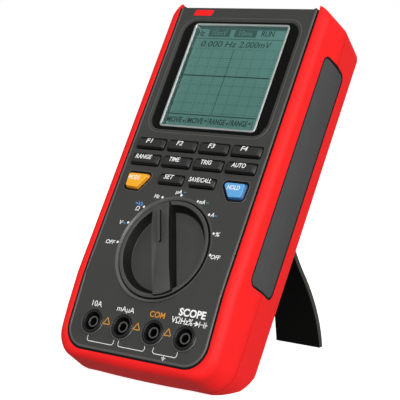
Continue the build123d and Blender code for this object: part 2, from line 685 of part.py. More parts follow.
# ---- Assembly ----
def build_parts():
    pockets = grip_pockets()
    parts = {
        "front_case": front_case(),
        "front_bumper": front_bumper(pockets),
        "rear_case": rear_case(pockets),
        "left_grip": grip(-1),
        "right_grip": grip(1),
        "window_bezel": window_bezel(),
        "display_trim": slab(trim_sketch(0) - trim_sketch(TRIM_BAND), 0.2, 2.2),
        "display_window": slab(trim_sketch(TRIM_BAND), 0.7, 1.9),
        "lcd_panel": lcd_panel(),
        "backlight": slab(rounded(0, TRIM_Z, 60, 55.6, 1.0), 4.3, 6.9),
        "zebra_strips": zebra_strips(),
        "display_board": display_board(),
        "keypad_mat": keypad_mat(),
        "dial_knob": on_dial(dial_knob()),
        "dial_shaft": on_dial(rod(0, 0, SHAFT_RADIUS, KNOB_BACK_Y, ROTOR_Y)),
        "detent_hub": on_dial(detent_hub()),
        "detent_springs": on_dial(detent_springs()),
        "detent_balls": on_dial(detent_balls()),
        "dial_rotor": on_dial(dial_rotor()),
        "rotor_wipers": on_dial(rotor_wipers()),
        "detent_ring": on_dial(detent_ring()),
        "main_board": main_board(),
        "switch_tracks": switch_tracks(),
        "board_connector": box(-18, 18, DISPLAY_BOARD_Y + BOARD_THICKNESS, MAIN_BOARD_Y, 46, 51),
        "input_shield": input_shield(),
        "buzzer": rod(27, 48, 8.0, 18.6, MAIN_BOARD_Y),
        "fuse_tubes": fuse_tubes(),
        "fuse_caps": fuse_caps(),
        "fuse_clips": fuse_clips(),
        "shunt_bar": shunt_bar(),
        "jack_housings": jack_housings(),
        "jack_contacts": jack_contacts(),
        "battery_tray": battery_tray(),
        "battery_cells": battery_cells(),
        "battery_contacts": battery_contacts(),
        "battery_door": battery_door(),
        "case_screws": case_screws(),
        "board_screws": board_screws(),
        "door_screws": door_screws(),
        "stand_pin": cross_rod(HINGE_Y, HINGE_Z, PIN_RADIUS, -20.8, 20.8),
        "tilt_stand": tilt_stand(),
    }
    for name, sketch in key_sketches().items():
        parts[name] = key_cap(sketch)
    return parts


def leaned(shape):
    return Pos(0, 0, -FLOOR_HEIGHT) * Rot(-LEAN, 0, 0) * shape


def centring_shift(shapes):
    """How far the leaning unit moves along Y to centre its bounding box."""
    boxes = [shape.bounding_box() for shape in shapes]
    return -(min(b.min.Y for b in boxes) + max(b.max.Y for b in boxes)) / 2


def main():
    os.makedirs("parts", exist_ok=True)
    placed = {name: leaned(shape) for name, shape in build_parts().items()}
    shift = centring_shift(placed.values())
    for name, shape in placed.items():
        export_step(Pos(0, shift, 0) * shape, f"parts/{name}.step")
    print("centring shift along Y:", round(shift, 4))
    return placed, shift


main()
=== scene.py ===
"""Looks of a handheld oscilloscope on its open tilt stand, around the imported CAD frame.

Pieces are drawn in the unit's own upright frame, in mm: x to the right, y into the unit from its front
panel and z up the panel. UNIT turns that frame into the shared frame, in metres.
"""

import json
from math import cos, pi, radians, sin, tan

import bmesh
import bpy
from mathutils import Matrix, Vector


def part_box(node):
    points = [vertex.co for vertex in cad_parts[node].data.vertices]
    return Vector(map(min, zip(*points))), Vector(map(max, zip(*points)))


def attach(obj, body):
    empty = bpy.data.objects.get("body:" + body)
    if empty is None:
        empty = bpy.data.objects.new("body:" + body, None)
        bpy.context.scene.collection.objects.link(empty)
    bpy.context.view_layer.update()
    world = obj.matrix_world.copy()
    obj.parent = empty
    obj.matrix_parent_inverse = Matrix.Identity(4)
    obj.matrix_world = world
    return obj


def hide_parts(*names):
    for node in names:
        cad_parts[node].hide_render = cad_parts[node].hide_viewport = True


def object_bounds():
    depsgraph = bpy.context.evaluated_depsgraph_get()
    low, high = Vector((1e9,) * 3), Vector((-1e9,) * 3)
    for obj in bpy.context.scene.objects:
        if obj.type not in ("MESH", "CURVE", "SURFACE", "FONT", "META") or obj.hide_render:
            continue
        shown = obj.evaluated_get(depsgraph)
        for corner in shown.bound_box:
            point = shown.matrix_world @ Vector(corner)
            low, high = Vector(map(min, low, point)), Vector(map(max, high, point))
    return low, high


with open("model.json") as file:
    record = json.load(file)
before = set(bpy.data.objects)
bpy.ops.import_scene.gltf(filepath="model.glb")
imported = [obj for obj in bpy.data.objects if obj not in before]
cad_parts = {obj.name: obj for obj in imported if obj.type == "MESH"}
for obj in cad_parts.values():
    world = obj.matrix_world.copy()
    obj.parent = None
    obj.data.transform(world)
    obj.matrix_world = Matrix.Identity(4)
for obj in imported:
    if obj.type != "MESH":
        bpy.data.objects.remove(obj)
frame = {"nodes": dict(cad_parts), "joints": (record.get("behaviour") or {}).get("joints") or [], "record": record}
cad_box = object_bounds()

MM = 0.001
SHARP_ANGLE = 32.0          # edges sharper than this, in degrees, aren't smoothed

# ---- Driving dimensions in the unit's frame, as in the CAD model ----
DIAL_Z = -66.5
PARTING_Y = 21.8            # joint of the front and rear shells
SIDE_END_Y = 21.1           # the overmould's side ends here, in a fine groove before the joint
BEND_Z = -84.4              # below this line the panel slopes back by BEND_ANGLE
BEND_ANGLE = 5.67
SLOPE_END_Z = -122.0
PANEL_X = 42.05             # edge of the panel
PANEL_BOTTOM = -121.4
PANEL_CORNER = 11.0
GROOVE_X = 43.5             # inner edge of the overmould, beside the panel
GROOVE_BOTTOM = -122.8
GROOVE_CORNER = 12.4
CASE_HALF_WIDTH = 50.0      # outline of the case where it is widest
CASE_TOP = 72.2
CASE_BOTTOM = -128.8
CASE_TOP_CORNER = 7.0
CASE_BOTTOM_CORNER = 13.0
BOTTOM_BOW = 1.6
FRONT_DRAFT = 0.0374        # how fast the sides draw in, in front of the parting line and behind it
REAR_DRAFT = 0.1857
GRIP = (22.4, 123.2, 21.2, -12.7, 3.4)  # side grip: depth, height, centre y and z, corner radius
GRIP_GAP = 0.7
WINDOW = (72.0, 64.0, 29.7, 7.0)        # width, height, centre z, corner radius
TRIM = (59.8, 61.2, 30.0, 2.2)          # the same, for the bright trim
TRIM_BAND = 1.2
LCD_FACE_Y = 2.4
KEY_PROUD = 1.6
KEY_TEXT_HEIGHT = 2.3
KNOB_RADIUS = 26.0
KNOB_RIM_Y = 0.2
KNOB_BAR_Y = -2.6
KNOB_FLOOR_Y = 4.5
KNOB_BACK_Y = 5.8
COUNTERSINK_RADIUS = 27.9
COUNTERSINK_DEPTH = 1.1
BAR_WIDTH = 10.4
POINTER_ANGLE = 112.5       # counterclockwise from the right
DIAL_STEP = 22.5
JACK_Z = -108.3
JACK_PITCH = 19.0
JACK_BACK_Y = 21.9


def unit_frame():
    """The unit's upright frame, from the dial's axis, which is square to the panel."""
    dial = next(joint for joint in frame["joints"] if joint["name"] == "dial_turn")
    inward = -Vector(dial["axis"]).normalized()
    across = Vector((1, 0, 0))
    basis = Matrix((across, inward, across.cross(inward))).transposed().to_4x4()
    dial_centre = Matrix.Translation((0, 0, -DIAL_Z))
    return Matrix.Translation(dial["pos_m"]) @ basis @ Matrix.Scale(MM, 4) @ dial_centre


UNIT = unit_frame()


def panel_depth(z):
    return max(0.0, BEND_Z - z) * tan(radians(BEND_ANGLE))


# ---- Outlines: closed lists of (x, z) ----
def arc(x, z, radius, start, end, steps):
    """Points on an arc, its ends included, with angles in degrees."""
    angles = [radians(start + (end - start) * i / steps) for i in range(steps + 1)]
    return [(x + radius * cos(a), z + radius * sin(a)) for a in angles]


def rounded_rectangle(width, height, radius, x=0.0, z=0.0, steps=8):
    points = []
    for i, (sx, sz) in enumerate(((1, 1), (-1, 1), (-1, -1), (1, -1))):
        centre_x = x + sx * (width / 2 - radius)
        centre_z = z + sz * (height / 2 - radius)
        points += arc(centre_x, centre_z, radius, 90 * i, 90 * i + 90, steps)
    return points


def rounded_polygon(corners, radius, steps=6):
    """A convex outline, given counterclockwise, with each corner replaced by a tangent arc."""
    points = []
    for i, corner in enumerate(corners):
        here = Vector(corner)
        back = (Vector(corners[i - 1]) - here).normalized()
        ahead = (Vector(corners[(i + 1) % len(corners)]) - here).normalized()
        half = back.angle(ahead) / 2
        centre = here + (back + ahead).normalized() * radius / sin(half)
        first = here + back * radius / tan(half) - centre
        turn = pi - 2 * half
        for k in range(steps + 1):
            point = centre + Matrix.Rotation(turn * k / steps, 2) @ first
            points.append((point.x, point.y))
    return points


def circle(x, z, radius, steps):
    return arc(x, z, radius, 0, 360 - 360 / steps, steps - 1)


def inset(outline, amount):
    """The outline moved inwards by amount; the outline runs counterclockwise."""
    moved = []
    for i, point in enumerate(outline):
        here = Vector(point)
        before = here - Vector(outline[i - 1])
        after = Vector(outline[(i + 1) % len(outline)]) - here
        inward = [Vector((-d.y, d.x)).normalized() for d in (before, after) if d.length > 1e-6]
        middle = sum(inward, Vector((0, 0))).normalized()
        moved.append(tuple(here + middle * amount / max(0.3, middle.dot(inward[0]))))
    return moved


def edge_round(radius, y, steps=4):
    """Profile steps (inset, y) of a rounded front edge whose face lies at depth y."""
    angles = [pi / 2 * i / steps for i in range(steps + 1)]
    return [(radius * (1 - sin(a)), y + radius * (1 - cos(a))) for a in angles]


# ---- Meshes ----
def skin(bm, rings, looped=False):
    """Quads between rings with the same number of points; the end rings are capped unless looped."""
    rows = [[bm.verts.new(point) for point in ring] for ring in rings]
    pairs = list(zip(rows, rows[1:]))
    if looped:
        pairs.append((rows[-1], rows[0]))
    for a, b in pairs:
        for i in range(len(a)):
            j = (i + 1) % len(a)
            bm.faces.new((a[i], a[j], b[j], b[i]))
    if not looped:
        bm.faces.new(rows[0])
        bm.faces.new(rows[-1])


def stacked(bm, outline, profile):
    """A closed body on an outline, with one ring for each (inset, y) of the profile."""
    skin(bm, [[(x, y, z) for x, z in inset(outline, amount)] for amount, y in profile])


def band(bm, outline, profile):
    """A closed ring along an outline; the profile (inset, y) is the ring's closed section."""
    skin(bm, [[(x, y, z) for x, z in inset(outline, amount)] for amount, y in profile], looped=True)


def turned(bm, profile, x, z, steps, looped=False):
    """A body turned about a line along the unit's depth; the profile of (radius, y) is closed if looped."""
    skin(bm, [[(px, y, pz) for px, pz in circle(x, z, radius, steps)] for radius, y in profile], looped)


def finished(bm, name, sharp=SHARP_ANGLE, matrix=UNIT):
    """The mesh of a shape, brought from the unit's frame into the shared one."""
    bmesh.ops.recalc_face_normals(bm, faces=bm.faces)
    bm.transform(matrix)
    mesh = bpy.data.meshes.new(name)
    bm.to_mesh(mesh)
    bm.free()
    mesh.shade_smooth()
    mesh.set_sharp_from_angle(angle=radians(sharp))
    return mesh


def make_piece(bm, name, body, material, replaces=(), sharp=SHARP_ANGLE, matrix=UNIT):
    """A piece that rides on a body, in place of the CAD nodes in replaces."""
    mesh = finished(bm, name, sharp, matrix)
    mesh.materials.append(material)
    piece = bpy.data.objects.new(name, mesh)
    bpy.context.scene.collection.objects.link(piece)
    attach(piece, body)
    if replaces:
        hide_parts(*replaces)
    return piece


def paint_flank_shade(piece, material, limit=0.8):
    """Gives a darker copy of the material, as painted shade, to every face that turns away from the front."""
    front = (UNIT.to_3x3() @ Vector((0, -1, 0))).normalized()
    piece.data.materials.append(material)
    for face in piece.data.polygons:
        face.material_index = 1 if abs(face.normal.dot(front)) < limit else 0


# ---- Lettering ----
def glyph_mesh(text, bold):
    """Lettering of size 1 as a thin closed mesh."""
    curve = bpy.data.curves.new("glyphs", "FONT")
    curve.body = text
    curve.align_x = "CENTER"
    curve.align_y = "CENTER"
    curve.offset = bold
    curve.extrude = 0.008
    curve.resolution_u = 4
    holder = bpy.data.objects.new("glyphs", curve)
    bpy.context.scene.collection.objects.link(holder)
    mesh = bpy.data.meshes.new_from_object(holder.evaluated_get(bpy.context.evaluated_depsgraph_get()))
    bpy.data.objects.remove(holder)
    bpy.data.curves.remove(curve)
    return mesh


def capital_height():
    mesh = glyph_mesh("H", 0.0)
    heights = [vertex.co.y for vertex in mesh.vertices]
    return max(heights) - min(heights)


CAPITAL = capital_height()


def letter(bm, text, x, z, height, depth=None, span=None, slant=0.0, bold=0.0):
    """Adds flat lettering centred at (x, z), as wide as span, on the panel or at a stated depth."""
    mesh = glyph_mesh(text, bold)
    size = height / CAPITAL
    places = [vertex.co.x for vertex in mesh.vertices]
    middle = (max(places) + min(places)) / 2
    width = span / (max(places) - min(places)) / size if span else 1.0
    on_slope = depth is None and z < BEND_Z
    surface = panel_depth(z) if depth is None else depth
    place = Matrix.Translation((x, surface - 0.01, z))
    if on_slope:
        place = place @ Matrix.Rotation(radians(BEND_ANGLE), 4, "X")
    lean = Matrix.Identity(4)
    lean[0][1] = tan(radians(slant))
    scale = Matrix.Diagonal((size * width, size, size, 1)) @ Matrix.Translation((-middle, 0, 0))
    mesh.transform(place @ Matrix.Rotation(radians(90), 4, "X") @ scale @ lean)
    bm.from_mesh(mesh)
    bpy.data.meshes.remove(mesh)


def patch(bm, corners, lift=0.03, depth=None):
    """A thin flat shape with the given (x, z) corners."""
    level = [panel_depth(p.y) if depth is None else depth for p in corners]
    rings = [[(p.x, y + step, p.y) for p, y in zip(corners, level)] for step in (-lift, lift)]
    skin(bm, rings)


def strip(bm, start, end, thickness, lift=0.03, depth=None):
    """A thin flat line from one (x, z) to another."""
    a, b = Vector(start), Vector(end)
    side = Vector((-(b - a).y, (b - a).x)).normalized() * thickness / 2
    patch(bm, [a - side, b - side, b + side, a + side], lift, depth)


def dot(bm, x, z, radius):
    """A flat round mark on the upper panel."""
    turned(bm, [(radius, 0.04), (radius, -0.02), (radius * 0.8, -0.04)], x, z, 20)


# ---- Materials ----
class Shader:
    """A Principled material with a few procedural layers."""

    def __init__(self, name, roughness=0.5, metallic=0.0, specular=0.5):
        self.material = bpy.data.materials.new(name)
        self.material.use_nodes = True
        self.nodes = self.material.node_tree.nodes
        self.links = self.material.node_tree.links
        self.surface = self.nodes["Principled BSDF"]
        self.surface.inputs["Roughness"].default_value = roughness
        self.surface.inputs["Metallic"].default_value = metallic
        self.surface.inputs["Specular IOR Level"].default_value = specular
        self.where = self.nodes.new("ShaderNodeTexCoord").outputs["Object"]

    def noise(self, grain_mm, detail=3.0):
        """Noise from 0 to 1 whose features are about grain_mm across."""
        node = self.nodes.new("ShaderNodeTexNoise")
        node.inputs["Scale"].default_value = 1.0 / (grain_mm * MM)
        node.inputs["Detail"].default_value = detail
        self.links.new(self.where, node.inputs["Vector"])
        return node.outputs["Fac"]

    def levels(self, value, low, high, out_low, out_high):
        """A value spread from the range low to high over the range out_low to out_high."""
        node = self.nodes.new("ShaderNodeMapRange")
        node.inputs["From Min"].default_value = low
        node.inputs["From Max"].default_value = high
        node.inputs["To Min"].default_value = out_low
        node.inputs["To Max"].default_value = out_high
        self.links.new(value, node.inputs["Value"])
        return node.outputs["Result"]

    def blend(self, factor, first, second):
        """A colour between two, each given as RGB or as a socket."""
        node = self.nodes.new("ShaderNodeMix")
        node.data_type = "RGBA"
        self.links.new(factor, node.inputs["Factor"])
        for socket, colour in (("A", first), ("B", second)):
            target = next(s for s in node.inputs if s.name == socket and s.type == "RGBA")
            if isinstance(colour, tuple):
                target.default_value = (*colour, 1.0)
            else:
                self.links.new(colour, target)
        return next(s for s in node.outputs if s.type == "RGBA")

    def colour(self, socket):
        self.links.new(socket, self.surface.inputs["Base Color"])

    def roughness(self, socket):
        self.links.new(socket, self.surface.inputs["Roughness"])

    def relief(self, height, depth_mm):
        node = self.nodes.new("ShaderNodeBump")
        node.inputs["Distance"].default_value = depth_mm * MM
        node.inputs["Strength"].default_value = 1.0
        self.links.new(height, node.inputs["Height"])
        self.links.new(node.outputs["Normal"], self.surface.inputs["Normal"])


def linear(red, green, blue):
    """Screen colour, 0 to 255, as linear light."""
    shares = [c / 255 for c in (red, green, blue)]
    return tuple(c / 12.92 if c <= 10 / 255 else ((c + 0.055) / 1.055) ** 2.4 for c in shares)


def scaled(colour, factor):
    return tuple(min(1.0, c * factor) for c in colour)


def moulded(name, rgb, roughness=0.5, grain=0.35, relief=0.02, tone=0.08, edge_paling=0.0, **surface):
    """Moulded plastic or rubber: spark-eroded grain, faint flow marks and paler edges where the surface is sharply
    convex.
    """
    shader = Shader(name, roughness=roughness, **surface)
    base = linear(*rgb)
    flow = shader.levels(shader.noise(14.0, 4.0), 0.3, 0.7, 0.0, 1.0)
    colour = shader.blend(flow, scaled(base, 1 - tone), scaled(base, 1 + tone))
    # Sharply convex edges made paler, by Pointiness.
    if edge_paling:
        geometry = shader.nodes.new("ShaderNodeNewGeometry")
        edges = shader.levels(geometry.outputs["Pointiness"], 0.52, 0.62, 0.0, edge_paling)
        colour = shader.blend(edges, colour, scaled(base, 2.2))
    shader.colour(colour)
    fine = shader.noise(grain, 2.0)
    shader.roughness(shader.levels(fine, 0.3, 0.7, roughness - 0.07, roughness + 0.07))
    shader.relief(fine, relief)
    return shader.material


def metal(name, rgb, roughness=0.3, tone=0.06):
    """Bare metal, unevenly tarnished."""
    shader = Shader(name, roughness=roughness, metallic=1.0)
    base = linear(*rgb)
    tarnish = shader.levels(shader.noise(6.0, 5.0), 0.35, 0.65, 0.0, 1.0)
    shader.colour(shader.blend(tarnish, scaled(base, 1 - tone), scaled(base, 1 + tone)))
    fine = shader.noise(0.25)
    shader.roughness(shader.levels(fine, 0.3, 0.7, roughness - 0.06, roughness + 0.08))
    shader.relief(fine, 0.004)
    return shader.material


def ink(name, rgb):
    """Screen-printed ink, slightly uneven in cover."""
    shader = Shader(name, roughness=0.55, specular=0.3)
    base = linear(*rgb)
    cover = shader.levels(shader.noise(1.2), 0.3, 0.7, 0.0, 1.0)
    shader.colour(shader.blend(cover, scaled(base, 0.92), base))
    shader.relief(shader.noise(0.2), 0.005)
    return shader.material


def display_material():
    """Reflective liquid crystal: a cloudy grey-green field, a little darker towards its foot."""
    shader = Shader("lcd_field", roughness=0.35, specular=0.25)
    low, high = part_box("lcd_panel")
    split = shader.nodes.new("ShaderNodeSeparateXYZ")
    shader.links.new(shader.where, split.inputs["Vector"])
    height = shader.levels(split.outputs["Z"], low.z, high.z, 0.0, 1.0)
    cloud = shader.noise(22.0, 2.0)
    field = shader.blend(height, linear(96, 141, 133), linear(106, 156, 147))
    field = shader.blend(shader.levels(cloud, 0.3, 0.7, 0.0, 0.35), field, linear(112, 166, 156))
    shader.colour(field)
    shader.relief(shader.noise(0.3), 0.004)
    return shader.material


def window_material():
    """Clear acrylic: it lets the display through and adds a faint reflection."""
    shader = Shader("window_acrylic")
    clear = shader.nodes.new("ShaderNodeBsdfTransparent")
    clear.inputs["Color"].default_value = (0.96, 0.98, 0.98, 1)
    gloss = shader.nodes.new("ShaderNodeBsdfGlossy")
    smear = shader.levels(shader.noise(9.0, 4.0), 0.35, 0.75, 0.04, 0.12)
    shader.links.new(smear, gloss.inputs["Roughness"])
    facing = shader.nodes.new("ShaderNodeFresnel")
    facing.inputs["IOR"].default_value = 1.25
    mix = shader.nodes.new("ShaderNodeMixShader")
    shader.links.new(facing.outputs["Fac"], mix.inputs["Fac"])
    shader.links.new(clear.outputs["BSDF"], mix.inputs[1])
    shader.links.new(gloss.outputs["BSDF"], mix.inputs[2])
    shader.links.new(mix.outputs["Shader"], shader.nodes["Material Output"].inputs["Surface"])
    shader.nodes.remove(shader.surface)
    return shader.material


def board_material():
    """Green solder mask over faint copper tracks."""
    shader = Shader("solder_mask", roughness=0.3, specular=0.5)
    tracks = shader.nodes.new("ShaderNodeTexVoronoi")
    tracks.distance = "MANHATTAN"
    tracks.inputs["Scale"].default_value = 250.0
    shader.links.new(shader.where, tracks.inputs["Vector"])
    lines = shader.levels(tracks.outputs["Distance"], 0.25, 0.4, 0.0, 1.0)
    shader.colour(shader.blend(lines, linear(20, 70, 42), linear(34, 98, 60)))
    shader.relief(lines, 0.03)
    return shader.material


def zebra_material():
    """Rubber with thin conducting layers."""
    shader = Shader("striped_elastomer", roughness=0.7)
    stripes = shader.nodes.new("ShaderNodeTexWave")
    stripes.inputs["Scale"].default_value = 600.0
    shader.links.new(shader.where, stripes.inputs["Vector"])
    shader.colour(shader.blend(stripes.outputs["Fac"], linear(30, 30, 32), linear(196, 190, 186)))
    return shader.material


RED = moulded(
    "red_overmould", (246, 30, 30), roughness=0.56, grain=0.5, relief=0.012, tone=0.03, specular=0.2
)
CASE_DARK = moulded("dark_case", (55, 55, 53), roughness=0.55, grain=0.4, relief=0.03, tone=0.05)
GRIP_RUBBER = moulded(
    "grip_rubber", (66, 66, 66), roughness=0.72, grain=0.6, relief=0.05, tone=0.06, edge_paling=0.3
)
# Paler, glossier copy of the case plastic: painted highlight on the panel's edge bead, the beads round the bezel
# and corner keys, the dial's countersink and the jacks' rims and collars.
EDGE_PAINTED_HIGHLIGHT = moulded("case_edge_painted_highlight", (84, 84, 82), roughness=0.36, grain=0.4, relief=0.01, tone=0.05)
# Near-black used as painted shadow: in the groove beside the panel, round the grips and round the corner keys.
SHADOW_BLACK = moulded("painted_shadow_black", (9, 9, 9), roughness=0.6, grain=0.5, relief=0.02, specular=0.2)
KEY_DARK = moulded("key_dark", (38, 38, 37), roughness=0.5, grain=0.3, relief=0.015, edge_paling=0.6)
KEY_AMBER = moulded("key_amber", (250, 176, 30), roughness=0.42, grain=0.3, relief=0.01, tone=0.03)
KEY_BLUE = moulded("key_blue", (96, 166, 222), roughness=0.42, grain=0.3, relief=0.01, tone=0.03)
# Darker copies of the key colours: painted shade on the keys' flanks.
KEY_PAINTED_SHADE = moulded("key_flank_painted_shade", (13, 13, 13), roughness=0.35, grain=0.3, relief=0.01, specular=0.3)
AMBER_PAINTED_SHADE = moulded("amber_flank_painted_shade", (214, 138, 22), roughness=0.35, grain=0.3, relief=0.01, tone=0.03)
BLUE_PAINTED_SHADE = moulded("blue_flank_painted_shade", (44, 96, 148), roughness=0.35, grain=0.3, relief=0.01, tone=0.03)
# Darker copy of the knob plastic: painted shade on the knob's walls and the bar's flanks.
KNOB_PAINTED_SHADE = moulded("knob_painted_shade", (17, 17, 16), roughness=0.6, relief=0.01, specular=0.15)
KNOB = moulded("knob_dark", (66, 66, 64), roughness=0.55, relief=0.025, edge_paling=0.5)
BEZEL = moulded("bezel_black", (5, 5, 6), roughness=0.16, grain=2.0, relief=0.002, specular=0.25)
TRIM_METAL = metal("trim_silver", (240, 250, 246), roughness=0.38)
STAND = moulded("stand_black", (4, 5, 4), specular=0.12)
# Paler copy of the stand's black: painted highlight on its flanks.
STAND_PAINTED_HIGHLIGHT = moulded("stand_side_painted_highlight", (62, 62, 59), specular=0.2)
SHROUD = moulded("jack_black", (17, 17, 18), roughness=0.4, grain=0.3, relief=0.01, edge_paling=0.6)
# Dark metal: painted shade deep in the jacks' bores.
BORE_PAINTED_SHADE = metal("bore_painted_shade", (44, 36, 26), roughness=0.55)
WHITE_INK = ink("white_ink", (250, 251, 250))
AMBER_INK = ink("amber_ink", (226, 150, 40))
BLUE_INK = ink("blue_ink", (70, 170, 230))
GREEN_INK = ink("green_ink", (60, 180, 140))
LCD = display_material()
LCD_DARK = ink("lcd_dark", (40, 68, 66))
LCD_FAINT = ink("lcd_faint", (66, 104, 100))
# Darker copy of the display field: painted shadow along the display's margins.
LCD_PAINTED_SHADOW = ink("lcd_painted_shadow", (72, 112, 107))
WINDOW_CLEAR = window_material()

SLOT_MATERIALS = {
    "case_dark": CASE_DARK,
    "overmould_red": RED,
    "case_red": RED,
    "grip_rubber": GRIP_RUBBER,
    "bezel_black": BEZEL,
    "trim_silver": TRIM_METAL,
    "window_clear": WINDOW_CLEAR,
    "lcd_glass": LCD,
    "diffuser": moulded("light_guide", (235, 235, 228), roughness=0.4, grain=1.0, relief=0.01, tone=0.03),
    "zebra": zebra_material(),
    "board_green": board_material(),
    "mat_silicone": moulded("silicone", (190, 190, 185), roughness=0.6, grain=0.5),
    "key_dark": KEY_DARK,
    "key_amber": KEY_AMBER,
    "key_blue": KEY_BLUE,
    "knob_dark": KNOB,
    "shaft_plastic": moulded("acetal", (225, 222, 210), roughness=0.4, grain=0.5, relief=0.01),
    "spring_steel": metal("spring_steel", (190, 190, 190), roughness=0.35),
    "contact_gold": metal("gold_plate", (222, 184, 110), roughness=0.25),
    "shield_tin": metal("tinned_steel", (200, 202, 204), roughness=0.4, tone=0.12),
    "part_black": moulded("part_black", (26, 26, 27)),
    "fuse_ceramic": moulded("ceramic", (226, 222, 212), roughness=0.3, grain=0.8, relief=0.01),
    "fuse_end": metal("nickel", (205, 205, 206), roughness=0.2),
    "shunt_alloy": metal("resistance_alloy", (184, 134, 96), roughness=0.4, tone=0.15),
    "jack_shroud": SHROUD,
    "cell_can": metal("wrapped_can", (150, 110, 60), roughness=0.3),
    "screw_steel": metal("zinc_black", (110, 110, 112), roughness=0.35),
    "stand_black": STAND,
}


def dress_cad_nodes():
    """Gives every CAD part the material of its slot."""
    for subpart in frame["record"]["subparts"]:
        mesh = frame["nodes"][subpart["node"]].data
        mesh.materials.clear()
        mesh.materials.append(SLOT_MATERIALS[subpart["material_slot"]])


# ---- Overmould ----
OVERMOULD_REACH = 6.9       # from the outline to the groove, where the overmould is as wide as it gets
EDGE_RADIUS = 4.6           # its front edge is rounded by this much across and EDGE_DEPTH deep
EDGE_DEPTH = 5.2
WALL = 2.3
FOOT_TOP_Z = -102.0         # below this the lower end draws in more, over FOOT_RISE
FOOT_RISE = 22.0


def overmould_stations():
    """Pairs of points, on the case's widest outline and on the panel's groove, around the right half."""
    top = arc(CASE_HALF_WIDTH - CASE_TOP_CORNER, CASE_TOP - CASE_TOP_CORNER, CASE_TOP_CORNER, 88, 0, 8)
    stations = [(outer, (GROOVE_X, CASE_TOP - 0.6 - 0.9 * i)) for i, outer in enumerate(top)]
    corner_x = CASE_HALF_WIDTH - CASE_BOTTOM_CORNER
    corner_z = bottom_edge(corner_x) + CASE_BOTTOM_CORNER
    groove_z = GROOVE_BOTTOM + GROOVE_CORNER
    (_, upper), (_, upper_groove) = stations[-1]
    for i in range(1, 31):
        share = i / 31
        outer = (CASE_HALF_WIDTH, upper + (corner_z - upper) * share)
        stations.append((outer, (GROOVE_X, upper_groove + (groove_z - upper_groove) * share)))
    outer_arc = arc(corner_x, corner_z, CASE_BOTTOM_CORNER, 0, -90, 14)
    groove_arc = arc(GROOVE_X - GROOVE_CORNER, groove_z, GROOVE_CORNER, 0, -90, 14)
    stations += list(zip(outer_arc, groove_arc))
    for i in range(1, 11):
        share = 1 - i / 10
        x = corner_x * share
        stations.append(((x, bottom_edge(x)), ((GROOVE_X - GROOVE_CORNER) * share, GROOVE_BOTTOM)))
    return stations


def bottom_edge(x):
    return CASE_BOTTOM + BOTTOM_BOW * (x / CASE_HALF_WIDTH) ** 2


def overmould_section(outer, groove):
    """The closed section of the overmould between a point of the widest outline and one of the groove."""
    outer, groove = Vector(outer), Vector(groove)
    reach = (groove - outer).length
    inward = (groove - outer).normalized()
    low = min(1.0, max(0.0, (FOOT_TOP_Z - outer.y) / FOOT_RISE))
    low = low * low * (3 - 2 * low)
    wide = min(1.0, reach / OVERMOULD_REACH)
    draft = (0.6 + 0.9 * low) * wide
    radius = min(EDGE_RADIUS, reach - draft - 0.9 * wide)
    depth = EDGE_DEPTH * wide
    wall = min(WALL, 0.8 * reach)
    face = [(reach, 0.9), (reach - 0.1 * wide, 0.4), (reach - 0.32 * wide, 0.1), (reach - 0.6 * wide, 0.0)]
    for i in range(13):
        angle = pi / 2 * i / 12
        face.append((draft + radius * (1 - sin(angle)), depth * (1 - cos(angle))))
    points = []
    for amount, drop in face:
        spot = outer + inward * amount
        points.append((spot.x, panel_depth(max(spot.y, SLOPE_END_Z)) + drop, spot.y))
    start = points[-1]
    end = (outer.x, SIDE_END_Y, outer.y)
    for i in range(1, 5):
        points.append(tuple(a + (b - a) * i / 4 for a, b in zip(start, end)))
    for amount, y in ((0.12, PARTING_Y - 0.4), (0.5, PARTING_Y - 0.25), (wall, PARTING_Y - 0.15)):
        spot = outer + inward * amount
        points.append((spot.x, y, spot.y))
    spot = outer + inward * min(wall + draft, 0.9 * reach)
    points.append((spot.x, start[1] + 1.5, spot.y))
    spot = outer + inward * reach
    points.append((spot.x, points[0][1] + 2.2, spot.y))
    return points


def cut(piece, bm, matrix=UNIT):
    """Takes a closed shape out of a piece."""
    cutter = bpy.data.objects.new("cutter", finished(bm, "cutter", matrix=matrix))
    bpy.context.scene.collection.objects.link(cutter)
    step = piece.modifiers.new("cut", "BOOLEAN")
    step.operation = "DIFFERENCE"
    step.solver = "EXACT"
    step.object = cutter
    mesh = bpy.data.meshes.new_from_object(piece.evaluated_get(bpy.context.evaluated_depsgraph_get()))
    piece.modifiers.remove(step)
    piece.data = mesh
    bpy.data.objects.remove(cutter)
    mesh.shade_smooth()
    mesh.set_sharp_from_angle(angle=radians(SHARP_ANGLE))


def make_overmould():
    half = [overmould_section(*station) for station in overmould_stations()]
    mirrored = [[(-x, y, z) for x, y, z in ring] for ring in reversed(half[:-1])]
    bm = bmesh.new()
    skin(bm, half + mirrored)
    piece = make_piece(bm, "overmould", "case", RED, ("front_bumper",), sharp=40)
    width, height, y, z, corner = GRIP
    for side in (-1, 1):
        bm = bmesh.new()
        pocket = rounded_rectangle(width + 2 * GRIP_GAP, height + 2 * GRIP_GAP, corner + GRIP_GAP, y, z)
        near, far = sorted((side * 47.9, side * 60.0))
        skin(bm, [[(x, y, z) for y, z in pocket] for x in (near, far)])
        cut(piece, bm)


def grip_surface(y):
    """Half width of the grips at depth y: the sides of the case, with a softened crease at the joint."""
    behind = y - PARTING_Y
    return CASE_HALF_WIDTH + 0.1 - 0.0745 * behind - 0.1112 * (behind ** 2 + 25) ** 0.5


def case_side(y):
    """Half width of the case at depth y, widest at the shells' joint."""
    return CASE_HALF_WIDTH - FRONT_DRAFT * max(0.0, SIDE_END_Y - y) - REAR_DRAFT * max(0.0, y - PARTING_Y)


